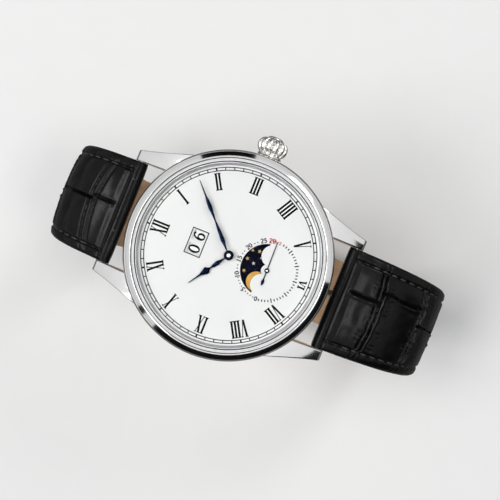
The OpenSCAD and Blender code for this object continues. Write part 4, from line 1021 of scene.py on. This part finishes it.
def keeperShell(s, halfX):
    corner, wide, half = keeper["corner"], keeper["wide"], halves["strap_12"]
    right, top, low = halfX - corner, keeper["high"] - corner, keeper["low"] + corner
    path = []
    for cx, cv, start in ((right, top, 0), (-right, top, 90), (-right, low, 180), (right, low, 270)):
        for k in range(7):
            b = radians(start + 15 * k)
            path.append((cx + corner * cos(b), cv + corner * sin(b), cos(b), sin(b)))
    dense = []
    for here, after in zip(path, path[1:] + path[:1]):
        steps = max(1, int(dist(here[:2], after[:2]) / 0.9))
        dense += [[p + (q - p) * k / steps for p, q in zip(here, after)] for k in range(steps)]
    section = []
    for k in range(25):
        along = wide * (k / 24 - 0.5)
        u = abs(2 * along / wide)
        out = keeper["thick"] * (1 - 0.35 * u ** 8) - 0.16 * bell(abs(along) - wide / 2 + 0.75, 0.16)
        section.append((along, out - 0.06 * u * u))
    section += [(wide / 2, 0.12), (wide / 2 - 0.15, 0.0), (-wide / 2 + 0.15, 0.0), (-wide / 2, 0.12)]
    rings = []
    for x, v, nx, nv in dense:
        ring = []
        for along, out in section:
            if out > 0.2:
                out += 0.04 * grain(x * 0.5, v * 0.5 + along * 0.6, 3.3)
            ring.append(strapPoint(half, routeAt(half, s), x + nx * out, v + nv * out, along))
        rings.append(ring)
    return skin(rings, loop=True)


def makeKeepers():
    fixed = keeperShell(keeper["fixedAt"], 9.3)
    makePiece("fixed_keeper.loop", fixed, "strap_leather", "strap_12", 50, ("fixed_keeper",))
    free = keeperShell(keeper["freeAt"], sideWidth(29) + 0.3)
    makePiece("free_keeper.loop", free, "strap_leather", "free_keeper", 50, ("free_keeper",))


makeKeepers()


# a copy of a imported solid, welded, with its edges eased
def easedCopy(name, body, width):
    copy = addObject(name + ".polished", nodes[name].data.copy())
    editMesh(copy.data, weldFlat)
    copy.data.shade_smooth()
    edges = copy.modifiers.new("easedEdges", "BEVEL")
    edges.width, edges.segments, edges.limit_method, edges.angle_limit = width * mm, 3, "ANGLE", radians(30)
    edges.harden_normals = True
    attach(copy, body)
    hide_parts(name)


easedCopy("buckle_frame", "buckle", 0.45)
easedCopy("buckle_tongue", "tongue", 0.25)
print("keepers and buckle made")

# floor, world, lamps as (place, size, power), cards as (start, end, rims of (radius, z)) and camera
stage = {"floorZ": -46.32, "floorHalf": 3.0, "world": 0.29, "horizon": 0.62, "zenith": 1.0}
lamps = {"keyLamp": ((-0.45, 0.55, 0.75), (0.4, 0.4), 3.3),
         "fillLamp": ((0.65, -0.3, 0.5), (0.25, 0.4), 1.6),
         "upperStrip": ((0, 0.46, 0.74), (0.25, 0.32), 2.3),
         "lowerStrip": ((0, -0.38, 0.75), (0.25, 0.2), 1.1)}
cardZ = stage["floorZ"] * mm + 0.0005
cards = {"longFlag": (-205.5, -84, ((0.4, -0.046), (0.4, 0.22)), inkBlack),
         "dashFlag": (-219, -214, ((0.4, -0.02), (0.4, 0.2)), inkBlack),
         "shortFlag": (8, 39, ((0.4, -0.02), (0.4, 0.2)), inkBlack),
         "floorCard": (-241, 119, ((0.045, cardZ), (0.4, cardZ)), greyCard)}


# a sheet for the stage, of points in metres
def addSheet(name, points, faces, material):
    mesh = bpy.data.meshes.new(name)
    mesh.from_pydata(points, [], faces)
    mesh.materials.append(material)
    return addObject(name, mesh)


def makeFloor():
    pale = coat("paleFloor", (0.88, 0.88, 0.87), (0.90, 0.90, 0.89), (0.6, 0.7), scale=0.02, relief=0.0,
                Specular_IOR_Level=0.0, Emission_Strength=1.0)
    tree = pale.node_tree
    place = putNode(tree, "TexCoord")["Object"]
    away = putNode(tree, "VectorMath", {0: place}, operation="LENGTH")["Value"]
    # the floor glows with its own emission, none near the watch and more farther out: painted light that
    # whitens the distant floor
    glow = spread(tree, away, 0.0, 0.75, 0.2, 1.4)  # far off, the floor runs out into white
    setInputs(tree, tree.nodes["Principled BSDF"], {"Emission Color": glow})
    r, z = stage["floorHalf"], stage["floorZ"] * mm
    floor = addSheet("floor", [(-r, -r, z), (r, -r, z), (r, r, z), (-r, r, z)], [(0, 1, 2, 3)], pale)


# white to the camera, a sky that pales upward in mirrors and glass, and a plain dim light elsewhere
def makeWorld():
    world = bpy.data.worlds.new("studio")
    bpy.context.scene.world = world
    world.use_nodes = True
    tree = world.node_tree
    rays = putNode(tree, "LightPath")
    place = putNode(tree, "TexCoord")["Generated"]
    height = putNode(tree, "SeparateXYZ", {0: place})["Z"]
    sky = spread(tree, height, stage["horizon"], stage["zenith"], 0.1, 0.9)
    mirrored = mathNode(tree, "MAXIMUM", rays["Is Glossy Ray"], rays["Is Transmission Ray"])
    seen = mathNode(tree, "MULTIPLY", mirrored, sky)
    soft = mathNode(tree, "MULTIPLY", mathNode(tree, "SUBTRACT", 1.0, mirrored), stage["world"])
    unseen = mathNode(tree, "SUBTRACT", 1.0, rays["Is Camera Ray"])
    behind = mathNode(tree, "MULTIPLY", unseen, mathNode(tree, "ADD", seen, soft))
    strength = mathNode(tree, "ADD", behind, rays["Is Camera Ray"])
    setInputs(tree, tree.nodes["Background"], {"Color": (0.97, 0.98, 1.0, 1), "Strength": strength})


def makeLamp(name, at, size, power):
    light = bpy.data.lights.new(name, "AREA")
    light.shape, light.size, light.size_y, light.energy = "RECTANGLE", size[0], size[1], power
    lamp = addObject(name, light)
    lamp.location = at
    lamp.rotation_euler = (Vector((0, 0, 0.005)) - Vector(at)).to_track_quat("-Z", "Y").to_euler()


# a curved card that only polished faces mirror
def makeCard(name, start, end, rims, material):
    count = max(2, int((end - start) / 8))
    points = []
    for i in range(count + 1):
        a = radians(start + (end - start) * i / count)
        points += [(r * cos(a), r * sin(a), z) for r, z in rims]
    faces = [(2 * i, 2 * i + 2, 2 * i + 3, 2 * i + 1) for i in range(count)]
    card = addSheet(name, points, faces, material)
    card.visible_camera = card.visible_diffuse = card.visible_shadow = card.visible_transmission = False


def makeCamera():
    view = bpy.data.cameras.new("photoView")
    view.sensor_width, view.lens = 36, 53.9
    view.clip_start, view.clip_end = 0.01, 10
    camera = addObject("photoView", view)
    camera.location = (2.58 * mm, -3.51 * mm, (dialTop + 149) * mm)
    camera.rotation_euler = (0, 0, radians(-68))
    bpy.context.scene.camera = camera


makeFloor()
makeWorld()
for name, lamp in lamps.items():
    makeLamp(name, *lamp)
for name, card in cards.items():
    makeCard(name, *card)
makeCamera()
bpy.context.scene.view_settings.view_transform = "Standard"
print("stage set")
